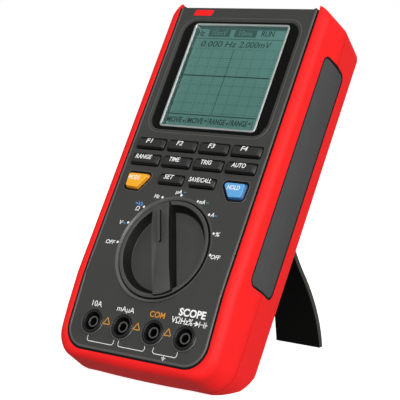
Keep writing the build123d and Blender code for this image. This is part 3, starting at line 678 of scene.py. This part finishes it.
def grip_ring(side, margin, sink, surface):
    """One ring of a grip. Its straight edges are divided so that they follow the bend of the side."""
    width, height, y, z, corner = GRIP
    steps = 6
    radius = max(0.15, corner + margin)
    spots = rounded_rectangle(width + 2 * margin, height + 2 * margin, radius, y, z, steps)
    ring = []
    for i, ((y0, z0), (y1, z1)) in enumerate(zip(spots, spots[1:] + spots[:1])):
        count = 14 if i % (steps + 1) == steps else 1
        ring += [(y0 + (y1 - y0) * k / count, z0 + (z1 - z0) * k / count) for k in range(count)]
    return [(side * (surface(py) - sink), py, pz) for py, pz in ring]


def make_grips():
    """Rubber pads with rounded edges, each ringed by a narrow black band of painted shadow."""
    pad = [(0.0, 1.3), (0.0, 0.5), (-0.12, 0.2), (-0.35, 0.04), (-0.7, 0.0)]
    pad += [(-margin, 0.0) for margin in (1.6, 2.8, 4.2, 5.8, 7.4, 9.0, 10.4, 11.0)]
    shadow_band = [(-0.3, 1.5), (-0.3, 0.5), (0.05, 0.1), (0.2, -0.08), (1.0, -0.08), (1.15, 0.1), (1.15, 1.5)]
    for side, label in ((-1, "left"), (1, "right")):
        bm = bmesh.new()
        skin(bm, [grip_ring(side, margin, sink, grip_surface) for margin, sink in pad])
        make_piece(bm, label + "_grip_pad", "case", GRIP_RUBBER, (label + "_grip",))
        bm = bmesh.new()
        # A black band round each pad: painted shadow in the gap.
        skin(bm, [grip_ring(side, margin, sink, case_side) for margin, sink in shadow_band], looped=True)
        make_piece(bm, label + "_grip_painted_shadow", "case", SHADOW_BLACK)


# ---- Edge of the panel ----
def panel_path():
    """Points (x, z) down the left edge, round the bottom and up the right edge, with outward normals."""
    path = [(-PANEL_X, 69.6 - i * 12.0, -1.0, 0.0) for i in range(15)]
    for side, start in ((-1, 180), (1, 270)):
        x, z = side * (PANEL_X - PANEL_CORNER), PANEL_BOTTOM + PANEL_CORNER
        for i in range(13):
            angle = radians(start + 90 * i / 12)
            across, up = cos(angle), sin(angle)
            path.append((x + PANEL_CORNER * across, z + PANEL_CORNER * up, across, up))
    return path + [(-x, z, 1.0, 0.0) for x, z, _, _ in reversed(path[:15])]


def along_panel(bm, section):
    """A strip along the panel's edge; the section is (distance outwards, y)."""
    rings = []
    for x, z, across, up in panel_path():
        rings.append([(x + across * out, y + panel_depth(z + up * out), z + up * out) for out, y in section])
    skin(bm, rings)


def make_panel_edge():
    """The raised edge of the panel, in a paler copy of the case plastic as painted highlight, and a black strip of
    painted shadow in the groove beside it.
    """
    bead = bmesh.new()
    section = [(0.45, 0.5), (0.45, 0.1), (0.25, -0.12), (-0.1, -0.22)]
    section += [(-0.5, -0.16), (-0.8, 0.03), (-0.8, 0.5)]
    along_panel(bead, section)
    # The bead is in the paler copy of the case plastic, as painted highlight.
    make_piece(bead, "panel_edge", "case", EDGE_PAINTED_HIGHLIGHT)
    groove_shadow = bmesh.new()
    # A black strip in the groove: painted shadow.
    along_panel(groove_shadow, [(0.4, 0.45), (0.4, 0.3), (1.4, 0.3), (1.4, 2.0), (0.4, 2.0)])
    make_piece(groove_shadow, "panel_groove_shadow", "case", SHADOW_BLACK)


# ---- Display ----
def make_display():
    """Black bezel with two beads round it, the inner bead in a paler copy of the case plastic as painted
    highlight, bright trim and clear window.
    """
    bm = bmesh.new()
    width, height, z, corner = WINDOW
    outer = rounded_rectangle(width, height, corner, 0, z, steps=12)
    trim_width, trim_height, trim_z, trim_corner = TRIM
    inner = rounded_rectangle(trim_width + 0.1, trim_height + 0.1, trim_corner, 0, trim_z, steps=12)
    rings = [[(x, y, z) for x, z in inset(outer, amount)] for amount, y in reversed(edge_round(0.5, 0.3))]
    rings.append([(x, 0.3, z) for x, z in inset(inner, -0.15)])
    rings += [[(x, y, z) for x, z in inner] for y in (0.45, 2.0)]
    rings.append([(x, 2.0, z) for x, z in outer])
    skin(bm, rings, looped=True)
    make_piece(bm, "display_bezel", "case", BEZEL, ("window_bezel",))

    # The inner bead is in the paler copy of the case plastic, as painted highlight.
    for name, start, material in (("bezel_surround", -1.7, EDGE_PAINTED_HIGHLIGHT), ("bezel_contour", -3.7, CASE_DARK)):
        bm = bmesh.new()
        section = [(start, 0.3), (start, 0.0), (start - 0.2, -0.08), (start - 0.4, 0.0), (start - 0.5, 0.3)]
        band(bm, outer, section)
        make_piece(bm, name, "case", material)

    bm = bmesh.new()
    outline = rounded_rectangle(trim_width, trim_height, trim_corner, 0, trim_z, steps=12)
    section = [(0.0, 2.2), (0.0, 0.35), (0.1, 0.12), (0.3, 0.02), (0.85, 0.02), (1.08, 0.14)]
    section += [(TRIM_BAND, 0.4), (TRIM_BAND, 2.2)]
    band(bm, outline, section)
    make_piece(bm, "bright_trim", "case", TRIM_METAL, ("display_trim",))

    bm = bmesh.new()
    inner = inset(outline, TRIM_BAND + 0.02)
    stacked(bm, inner, edge_round(0.15, 0.75, 2) + [(0.0, 1.9)])
    make_piece(bm, "clear_window", "case", WINDOW_CLEAR, ("display_window",))


def dotted(bm, start, end, pitch, size, depth):
    """A line of small square dots from one (x, z) to another."""
    a, b = Vector(start), Vector(end)
    count = int((b - a).length / pitch)
    for i in range(count + 1):
        spot = a + (b - a).normalized() * pitch * i
        strip(bm, (spot.x - size / 2, spot.y), (spot.x + size / 2, spot.y), size, depth=depth)


STATUS_Z = 56.1             # lines of the display, from its top to its foot
READING_Z = 49.4
TRACE_Z = 30.7
LABEL_Z = 4.6
GRID_X = -1.2               # middle column of the grid, and its pitches
GRID_COLUMN = 6.7
GRID_ROW = 5.3


def make_readings():
    """What the display shows: status line, two readings, dotted grid, flat trace and soft-key labels, with darker
    strips of painted shadow along its margins.
    """
    depth = LCD_FACE_Y - 0.05
    dark = bmesh.new()
    letter(dark, "Hz", -25.7, 55.7, 3.1, depth, 4.2, bold=0.012)
    letter(dark, "RUN", 16.4, STATUS_Z, 3.1, depth, 7.8, bold=0.012)
    letter(dark, "0.000 Hz", -12.2, READING_Z, 3.4, depth, 22.4, slant=8)
    letter(dark, "2.000mV", 10.8, READING_Z, 3.4, depth, 19.0, slant=8)
    strip(dark, (-28.4, TRACE_Z), (26.2, TRACE_Z), 0.62, depth=depth)
    strip(dark, (-28.4, 8.0), (26.4, 8.0), 0.55, depth=depth)
    for i, text in enumerate(("MOVE", "MOVE", "RANGE", "RANGE")):
        left = -28.6 + 13.6 * i
        letter(dark, text, left + 5.4, LABEL_Z, 3.0, depth, 9.8, bold=0.02)
        arrow = left + 11.7
        head = 1.1 if i % 2 else -1.1
        outline = [(arrow - 0.9, LABEL_Z), (arrow + 0.9, LABEL_Z), (arrow, LABEL_Z + head * 1.3)]
        if head < 0:
            outline.reverse()
        stacked(dark, outline, [(0.0, depth - 0.03), (0.0, depth + 0.03)])
        strip(dark, (left + 13.2, LABEL_Z - 2.0), (left + 13.2, LABEL_Z + 2.0), 0.3, depth=depth)
    dotted(dark, (GRID_X, 9.2), (GRID_X, 46.6), 1.15, 0.62, depth)
    make_piece(dark, "display_readings", "case", LCD_DARK)

    faint = bmesh.new()
    strip(faint, (-28.6, 52.7), (27.6, 52.7), 0.35, depth=depth)
    strip(faint, (-28.6, 8.0), (-28.6, 46.5), 0.25, depth=depth)
    strip(faint, (27.2, 8.0), (27.2, 46.5), 0.25, depth=depth)
    for column in (-4, -3, -2, -1, 1, 2, 3, 4):
        x = GRID_X + GRID_COLUMN * column
        dotted(faint, (x, 9.4), (x, 46.4), 1.5, 0.5, depth)
    for row in (-4, -3, -2, -1, 1, 2, 3):
        z = TRACE_Z + GRID_ROW * row
        dotted(faint, (-28.0, z), (26.6, z), 1.7, 0.5, depth)
    for x0, x1 in ((-20.8, -7.2), (-4.4, 9.4)):
        box = rounded_rectangle(x1 - x0, 4.3, 0.3, (x0 + x1) / 2, STATUS_Z, 2)
        stacked(faint, box, [(0, depth - 0.02), (0, depth + 0.02)])
    make_piece(faint, "display_grid", "case", LCD_FAINT)

    light = bmesh.new()
    letter(light, "10mV", -14.0, STATUS_Z, 2.9, depth - 0.03)
    letter(light, "10ms", 2.5, STATUS_Z, 2.9, depth - 0.03)
    make_piece(light, "display_scales", "case", LCD)
    width, height, z, _ = TRIM
    # Darker strips along the left, right and top margins: painted shadow of the trim on the display.
    shade = bmesh.new()
    for x in (TRIM_BAND - width / 2, width / 2 - TRIM_BAND):
        strip(shade, (x, z - height / 2 + 1.0), (x, z + height / 2 - 1.0), 1.6, depth=depth)
    upper = z + height / 2 - 1.6
    strip(shade, (2.1 - width / 2, upper), (width / 2 - 2.1, upper), 1.6, depth=depth)
    make_piece(shade, "display_painted_edge_shadow", "case", LCD_PAINTED_SHADOW)


# ---- Keys ----
KEY_SIZE = (17.8, 6.2)
LOW_KEY_SIZE = (15.4, 5.6)
KEYS = {                    # centre x and z, size, legend and its width
    "key_f1": (-29.7, -11.3, KEY_SIZE, "F1", 3.4),
    "key_f2": (-9.9, -11.3, KEY_SIZE, "F2", 3.6),
    "key_f3": (9.9, -11.3, KEY_SIZE, "F3", 3.6),
    "key_f4": (29.7, -11.3, KEY_SIZE, "F4", 3.7),
    "key_range": (-29.7, -20.4, KEY_SIZE, "RANGE", 10.0),
    "key_time": (-9.9, -20.4, KEY_SIZE, "TIME", 6.6),
    "key_trigger": (9.9, -20.4, KEY_SIZE, "TRIG", 6.6),
    "key_auto": (29.7, -20.4, KEY_SIZE, "AUTO", 8.2),
    "key_set": (-9.4, -30.2, LOW_KEY_SIZE, "SET", 5.6),
    "key_save": (10.2, -30.2, LOW_KEY_SIZE, "SAVE/CALL", 13.6),
}
CORNER_KEYS = {
    "key_mode": (-1, "MODE", "key_amber", KEY_AMBER, AMBER_PAINTED_SHADE),
    "key_hold": (1, "HOLD", "key_blue", KEY_BLUE, BLUE_PAINTED_SHADE),
}


def key_profile(shoulder):
    """Steps (inset, y) from the top edge down a sloping shoulder to the flange behind the panel."""
    top = [(shoulder + 0.9, -KEY_PROUD), (shoulder + 0.5, -KEY_PROUD)]
    top += [(shoulder + 0.25, -KEY_PROUD + 0.04), (shoulder, -KEY_PROUD + 0.2)]
    return top + [(0.22, -0.35), (0.08, -0.1), (0.05, 0.2), (0.05, 3.15), (-0.45, 3.2), (-0.45, 4.0)]


def plain_key(width, height, x, z, amount):
    corner = max(0.3, 1.3 - 0.7 * amount)
    return rounded_rectangle(width - 2 * amount, height - 2 * amount, corner, x, z, 5)


def corner_key(corners, amount):
    return rounded_polygon(inset(corners, amount), max(0.5, 1.5 - 0.5 * amount))


def make_cap(name, rings, material, flank_shade):
    bm = bmesh.new()
    skin(bm, rings)
    cap = make_piece(bm, name + "_cap", name, material, (name,))
    # Faces turned away from the front get the darker copy as painted shade.
    paint_flank_shade(cap, flank_shade)


def make_keys():
    """Every key's cap and legend, with flanks in darker copies as painted shade, the raised rims round the two
    slanted corner keys in a paler copy as painted highlight, and black bands of painted shadow between those keys
    and their rims.
    """
    for name, (x, z, (width, height), text, span) in KEYS.items():
        profile = key_profile(1.1)
        rings = [[(px, y, pz) for px, pz in plain_key(width, height, x, z, amount)] for amount, y in profile]
        make_cap(name, rings, KEY_DARK, KEY_PAINTED_SHADE)
        bm = bmesh.new()
        letter(bm, text, x - 0.9, z + 0.9, KEY_TEXT_HEIGHT, -KEY_PROUD, span, slant=12, bold=0.012)
        make_piece(bm, name + "_legend", name, WHITE_INK)
    rims = bmesh.new()
    seat_shadows = bmesh.new()
    for name, (side, text, slot, material, flank_shade) in CORNER_KEYS.items():
        corners = [(36.9, -28.2), (22.0, -28.2), (28.2, -37.1), (36.5, -36.7)]
        if side < 0:
            corners = [(-x, z) for x, z in reversed(corners)]
        rings = [[(x, y, z) for x, z in corner_key(corners, amount)] for amount, y in key_profile(0.7)]
        make_cap(name, rings, material, flank_shade)
        outline = rounded_polygon(corners, 1.5)
        # Black bands inside the rims: painted shadow round the corner keys.
        band(seat_shadows, outline, [(-0.35, 0.3), (-0.35, -0.04), (-1.1, -0.04), (-1.1, 0.3)])
        band(rims, outline, [(-1.1, 0.3), (-1.15, -0.12), (-1.35, -0.18), (-1.55, -0.1), (-1.6, 0.3)])
        bm = bmesh.new()
        letter(bm, text, side * 31.0 - 0.8, -31.4, KEY_TEXT_HEIGHT, -KEY_PROUD, 7.2, slant=12, bold=0.008)
        make_piece(bm, name + "_legend", name, WHITE_INK)
    make_piece(seat_shadows, "corner_key_painted_shadows", "case", SHADOW_BLACK)
    make_piece(rims, "corner_key_rims", "case", EDGE_PAINTED_HIGHLIGHT)


# ---- Selector dial ----
def dial_place():
    """Drawn with its pointer up and turned to the rest angle about the dial's axis."""
    turn = Matrix.Rotation(radians(90 - POINTER_ANGLE), 4, "Y")
    return UNIT @ Matrix.Translation((0, 0, DIAL_Z)) @ turn


def make_dial():
    """The knob's dished disc with its grip bar and pointer groove, its walls and the bar's flanks in a darker copy
    as painted shade, and the countersink round it in a paler copy of the case plastic as painted highlight.
    """
    bm = bmesh.new()
    inner = 23.7
    profile = [(0.4, KNOB_FLOOR_Y), (12.0, KNOB_FLOOR_Y), (20.5, KNOB_FLOOR_Y), (20.8, KNOB_FLOOR_Y + 0.1)]
    profile += [(21.1, KNOB_FLOOR_Y - 0.1), (inner - 0.35, KNOB_RIM_Y + 0.6)]
    profile += [(inner - 0.05, KNOB_RIM_Y + 0.2), (inner + 0.3, KNOB_RIM_Y + 0.02)]
    profile += [(25.3, KNOB_RIM_Y), (25.7, KNOB_RIM_Y + 0.12)]
    profile += [(25.93, KNOB_RIM_Y + 0.35), (KNOB_RADIUS, KNOB_RIM_Y + 0.7)]
    profile += [(KNOB_RADIUS, KNOB_BACK_Y), (0.4, KNOB_BACK_Y)]
    turned(bm, profile, 0, 0, 128)
    half = BAR_WIDTH / 2
    reach = 25.0
    side = (reach ** 2 - half ** 2) ** 0.5
    swing = 11.5
    outline = [(half, z) for z in (-side, -side / 2, 0, side / 2)]
    outline += arc(0, 0, reach, 90 - swing, 90 + swing, 8)
    outline += [(-half, z) for z in (side / 2, 0, -side / 2, -side)]
    outline += arc(0, 0, reach, -90 - swing, -90 + swing, 8)
    rings = []
    edge = [(0.55, KNOB_BAR_Y), (0.22, KNOB_BAR_Y + 0.08)]
    edge += [(0.03, KNOB_BAR_Y + 0.4), (0.0, KNOB_FLOOR_Y + 0.4)]
    for amount, y in edge:
        ring = []
        for x, z in inset(outline, amount):
            sink = max(0.0, abs(z) - 21.6) * 0.42 if y < 0 else 0.0
            ring.append((x, y + sink, z))
        rings.append(ring)
    skin(bm, rings)
    piece = make_piece(bm, "selector_knob", "dial", KNOB, ("dial_knob",), matrix=dial_place())
    groove = bmesh.new()
    track = rounded_rectangle(1.3, 18.0, 0.6, 0, 11.5, 4)
    stacked(groove, track, [(0.0, KNOB_BAR_Y - 1.0), (0.0, KNOB_BAR_Y + 0.1), (0.35, KNOB_BAR_Y + 0.4)])
    cut(piece, groove, dial_place())
    # The knob's walls and the bar's flanks get the darker copy as painted shade.
    paint_flank_shade(piece, KNOB_PAINTED_SHADE, 0.72)

    # The countersink is in the paler copy of the case plastic, as painted highlight.
    collar = bmesh.new()
    outer, low = COUNTERSINK_RADIUS, COUNTERSINK_DEPTH
    section = [(outer + 0.1, 0.3), (outer + 0.08, -0.03), (outer - 0.1, -0.05), (outer - 0.35, 0.03)]
    section += [(26.7, low - 0.35), (26.5, low - 0.15), (26.45, low + 0.4)]
    turned(collar, section, 0, DIAL_Z, 128, looped=True)
    make_piece(collar, "dial_collar", "case", EDGE_PAINTED_HIGHLIGHT)


# ---- Jacks ----
def make_jacks():
    """Four shrouds, each with a rim on the panel and a collar round its contact, rims and collars in the paler
    copy of the case plastic as painted highlight; the contacts take a dark metal as painted shade.
    """
    panel = panel_depth(JACK_Z)
    front = [(6.0, -0.35), (5.85, -0.55), (5.5, -0.62), (5.0, -0.6), (4.72, -0.45), (4.6, -0.15)]
    shroud = [(6.0, 4.0)] + [(radius, y + panel) for radius, y in front] + [(4.6, 16.0)]
    shroud += [(2.8, 16.0), (2.8, 3.4), (2.72, 3.15), (2.5, 3.05), (2.2, 3.08), (2.05, 3.3), (2.02, 4.3)]
    shroud += [(2.36, 4.4), (2.36, JACK_BACK_Y), (6.0, JACK_BACK_Y)]
    edge = [(6.9, 0.2), (6.85, -0.1), (6.6, -0.22), (6.35, -0.15), (6.25, 0.2)]
    edge = [(radius, y + panel) for radius, y in edge]
    sleeve = [(2.82, 3.5), (2.8, 3.0), (2.6, 2.9), (2.25, 2.92), (2.1, 3.2), (2.4, 3.5)]
    for i in range(4):
        x = JACK_PITCH * (i - 1.5)
        bm = bmesh.new()
        turned(bm, shroud, x, JACK_Z, 56, looped=True)
        replaced = ("jack_housings",) if i == 0 else ()
        make_piece(bm, f"jack_shroud_{i + 1}", "case", SHROUD, replaced)
        rim = bmesh.new()
        # Rims and collars are in the paler copy of the case plastic, as painted highlight.
        turned(rim, edge, x, JACK_Z, 56, looped=True)
        make_piece(rim, f"jack_rim_{i + 1}", "case", EDGE_PAINTED_HIGHLIGHT)
        collar = bmesh.new()
        turned(collar, sleeve, x, JACK_Z, 56, looped=True)
        make_piece(collar, f"jack_collar_{i + 1}", "case", EDGE_PAINTED_HIGHLIGHT)
    # The contacts get a dark metal as painted shade in the deep bores.
    frame["nodes"]["jack_contacts"].data.materials[0] = BORE_PAINTED_SHADE


# ---- Panel markings ----
DIAL_LEGENDS = (            # centre x and z, text and its width
    (-33.4, -67.0, "OFF", 5.6),
    (-31.2, -55.9, "V", 2.2),
    (-23.9, -47.5, "Ω", 2.4),
    (-14.5, -39.7, "Hz", 3.1),
    (-2.0, -36.1, "µA", 3.6),
    (13.9, -40.1, "mA", 3.5),
    (22.5, -46.1, "A", 1.9),
    (29.0, -55.8, "%", 2.6),
    (32.2, -67.4, "OFF", 5.2),
)
DOT_RING = 28.8             # radius of the ring of marks round the dial
BRACKETS = ((-28.6, -12.0), (-9.0, 7.4), (12.6, 27.0))
BRACKET_Z = -118.2
EARTH_X = 19.8              # earth sign under the third bracket
SYMBOL_Z = -100.7           # diode and capacitor signs beside the last legend
TRIANGLES = (-19.5, -0.5, 18.4)


def draw_brackets(bm):
    for x0, x1 in BRACKETS:
        strip(bm, (x0 + 0.8, BRACKET_Z), (x1 - 0.8, BRACKET_Z), 0.3)
        strip(bm, (x0, BRACKET_Z + 2.8), (x0, BRACKET_Z + 0.8), 0.3)
        strip(bm, (x1, BRACKET_Z + 2.8), (x1, BRACKET_Z + 0.8), 0.3)
        strip(bm, (x0, BRACKET_Z + 0.8), (x0 + 0.8, BRACKET_Z), 0.3)
        strip(bm, (x1, BRACKET_Z + 0.8), (x1 - 0.8, BRACKET_Z), 0.3)


def draw_signs(bm):
    """Generic signs for a diode, a capacitor and earth."""
    for x0, x1 in ((31.4, 36.2), (36.5, 37.6), (38.5, 39.6)):
        strip(bm, (x0, SYMBOL_Z), (x1, SYMBOL_Z), 0.35)
    for x in (34.9, 37.6, 38.5):
        strip(bm, (x, SYMBOL_Z - 1.4), (x, SYMBOL_Z + 1.4), 0.35)
    arrow = ((32.5, SYMBOL_Z - 1.3), (34.9, SYMBOL_Z), (32.5, SYMBOL_Z + 1.3))
    patch(bm, [Vector(corner) for corner in arrow])
    strip(bm, (EARTH_X, BRACKET_Z), (EARTH_X, BRACKET_Z - 1.2), 0.3)
    for half_width, drop in ((1.2, 1.2), (0.7, 1.8), (0.3, 2.4)):
        z = BRACKET_Z - drop
        strip(bm, (EARTH_X - half_width, z), (EARTH_X + half_width, z), 0.3)


def make_markings():
    """Everything printed on the panel, one piece for each ink, and the blank badge."""
    white = bmesh.new()
    for x, z, text, span in DIAL_LEGENDS:
        letter(white, text, x, z, 2.1, None, span, slant=10, bold=0.012)
    for i in range(9):
        angle = radians(180 - DIAL_STEP * i)
        dot(white, DOT_RING * cos(angle), DIAL_Z + DOT_RING * sin(angle), 0.64)
    letter(white, "10A", -28.6, -99.5, 2.8, None, 6.2)
    letter(white, "mAµA", -10.1, -99.9, 2.7, None, 10.7)
    letter(white, "SCOPE", 29.4, -96.4, 3.5, None, 15.6, bold=0.03)
    letter(white, "VΩHz%", 24.6, -100.6, 3.0, None, 12.6, bold=0.008)
    draw_brackets(white)
    draw_signs(white)
    make_piece(white, "panel_legends", "case", WHITE_INK)

    blue = bmesh.new()
    letter(blue, "~", -28.9, -55.9, 2.2, None, 1.7, bold=0.02)
    letter(blue, "•))", -24.0, -44.6, 1.7, None, 4.6, bold=0.02)
    letter(blue, "~", 1.5, -35.8, 1.9, None, 1.5, bold=0.02)
    letter(blue, "~", 24.3, -46.3, 1.9, None, 1.6, bold=0.02)
    make_piece(blue, "panel_blue_legends", "case", BLUE_INK)
    green = bmesh.new()
    letter(green, "~", 17.0, -40.1, 1.9, None, 1.6, bold=0.02)
    make_piece(green, "panel_green_legends", "case", GREEN_INK)

    amber = bmesh.new()
    letter(amber, "COM", 9.5, -99.8, 2.8, None, 9.0, bold=0.012)
    for x in TRIANGLES:
        corners = [(x - 2.0, -108.6), (x + 2.0, -108.6), (x, -105.2)]
        for a, b in zip(corners, corners[1:] + corners[:1]):
            strip(amber, a, b, 0.42)
    make_piece(amber, "panel_amber_legends", "case", AMBER_INK)

    plate = bmesh.new()
    corners = [(-33.4, 65.0), (-21.6, 65.0), (-20.8, 68.6), (-32.6, 68.6)]
    stacked(plate, rounded_polygon(corners, 0.4, 3), [(0.25, -0.12), (0.08, -0.08), (0.0, 0.05), (0.0, 0.2)])
    make_piece(plate, "blank_badge", "case", RED)


# ---- Tilt stand ----
def make_stand():
    """The CAD shape with its flat faces merged, its sharp edges rounded and its flanks in a paler copy of the
    black, as painted highlight.
    """
    bm = bmesh.new()
    bm.from_mesh(frame["nodes"]["tilt_stand"].data)
    bmesh.ops.remove_doubles(bm, verts=bm.verts, dist=2e-6)
    bmesh.ops.dissolve_limit(bm, angle_limit=radians(1.0), verts=bm.verts, edges=bm.edges)
    in_place = Matrix.Identity(4)
    piece = make_piece(bm, "stand_plate", "stand", STAND, ("tilt_stand",), matrix=in_place)
    rounding = piece.modifiers.new("rounded_edges", "BEVEL")
    rounding.width = 0.45 * MM
    rounding.segments = 3
    rounding.limit_method = "ANGLE"
    rounding.angle_limit = radians(SHARP_ANGLE)
    # Faces turned sideways get the paler copy as painted highlight.
    piece.data.materials.append(STAND_PAINTED_HIGHLIGHT)
    for face in piece.data.polygons:
        face.material_index = 1 if abs(face.normal.x) > 0.45 else 0


# ---- Stage ----
FLOOR_RADIUS = 30.0
CAMERA_LENS = 124.3
CAMERA_PLACE = Vector((0.41155, -0.56517, 0.19213))
CAMERA_FORWARD = Vector((-0.58909, 0.79332, -0.15370))


def make_stage():
    """A pale round floor that glows a little and throws no light on the object."""
    bm = bmesh.new()
    bmesh.ops.create_circle(bm, cap_ends=True, segments=96, radius=FLOOR_RADIUS)
    mesh = bpy.data.meshes.new("floor")
    bm.to_mesh(mesh)
    bm.free()
    shader = Shader("pale_floor", roughness=0.8, specular=0.1)
    pale = shader.levels(shader.noise(400.0), 0.3, 0.7, 0.0, 1.0)
    shader.colour(shader.blend(pale, (0.93, 0.93, 0.93), (0.95, 0.95, 0.95)))
    shader.surface.inputs["Emission Color"].default_value = (1, 1, 1, 1)
    shader.surface.inputs["Emission Strength"].default_value = 0.75
    mesh.materials.append(shader.material)
    floor = bpy.data.objects.new("floor", mesh)
    floor.location.z = cad_box[0].z - 0.0002
    floor.visible_diffuse = False
    floor.visible_glossy = False
    bpy.context.scene.collection.objects.link(floor)


def area_light(name, place, target, size, power):
    data = bpy.data.lights.new(name, "AREA")
    data.shape = "RECTANGLE"
    data.size, data.size_y = size
    data.energy = power
    light = bpy.data.objects.new(name, data)
    light.location = place
    light.rotation_mode = "QUATERNION"
    light.rotation_quaternion = (Vector(target) - Vector(place)).to_track_quat("-Z", "Y")
    bpy.context.scene.collection.objects.link(light)


def make_lights():
    centre = (cad_box[0] + cad_box[1]) / 2
    area_light("key", (0.6, -1.7, 0.85), centre, (0.9, 0.9), 21)
    area_light("left_rim", (-1.6, -0.2, 0.6), centre, (0.5, 0.8), 1)
    area_light("side_fill", (1.6, -0.4, 0.6), centre, (1.0, 1.0), 22)
    area_light("top", (0.1, 0.5, 1.8), centre, (1.4, 1.4), 5)
    world = bpy.data.worlds.new("studio")
    world.use_nodes = True
    world.node_tree.nodes["Background"].inputs["Color"].default_value = (1, 1, 1, 1)
    world.node_tree.nodes["Background"].inputs["Strength"].default_value = 0.26
    bpy.context.scene.world = world


def make_camera():
    data = bpy.data.cameras.new("camera")
    data.lens = CAMERA_LENS
    data.sensor_width = 36.0
    data.clip_start = 0.01
    data.clip_end = 100.0
    camera = bpy.data.objects.new("camera", data)
    camera.location = CAMERA_PLACE
    camera.rotation_mode = "QUATERNION"
    camera.rotation_quaternion = CAMERA_FORWARD.to_track_quat("-Z", "Y")
    bpy.context.scene.collection.objects.link(camera)
    bpy.context.scene.camera = camera
    bpy.context.scene.view_settings.view_transform = "Standard"


# ---- Everything in place ----
make_camera()
make_stage()
make_lights()
dress_cad_nodes()
make_overmould()
make_panel_edge()
make_grips()
make_display()
make_readings()
make_keys()
make_dial()
make_jacks()
make_markings()
make_stand()
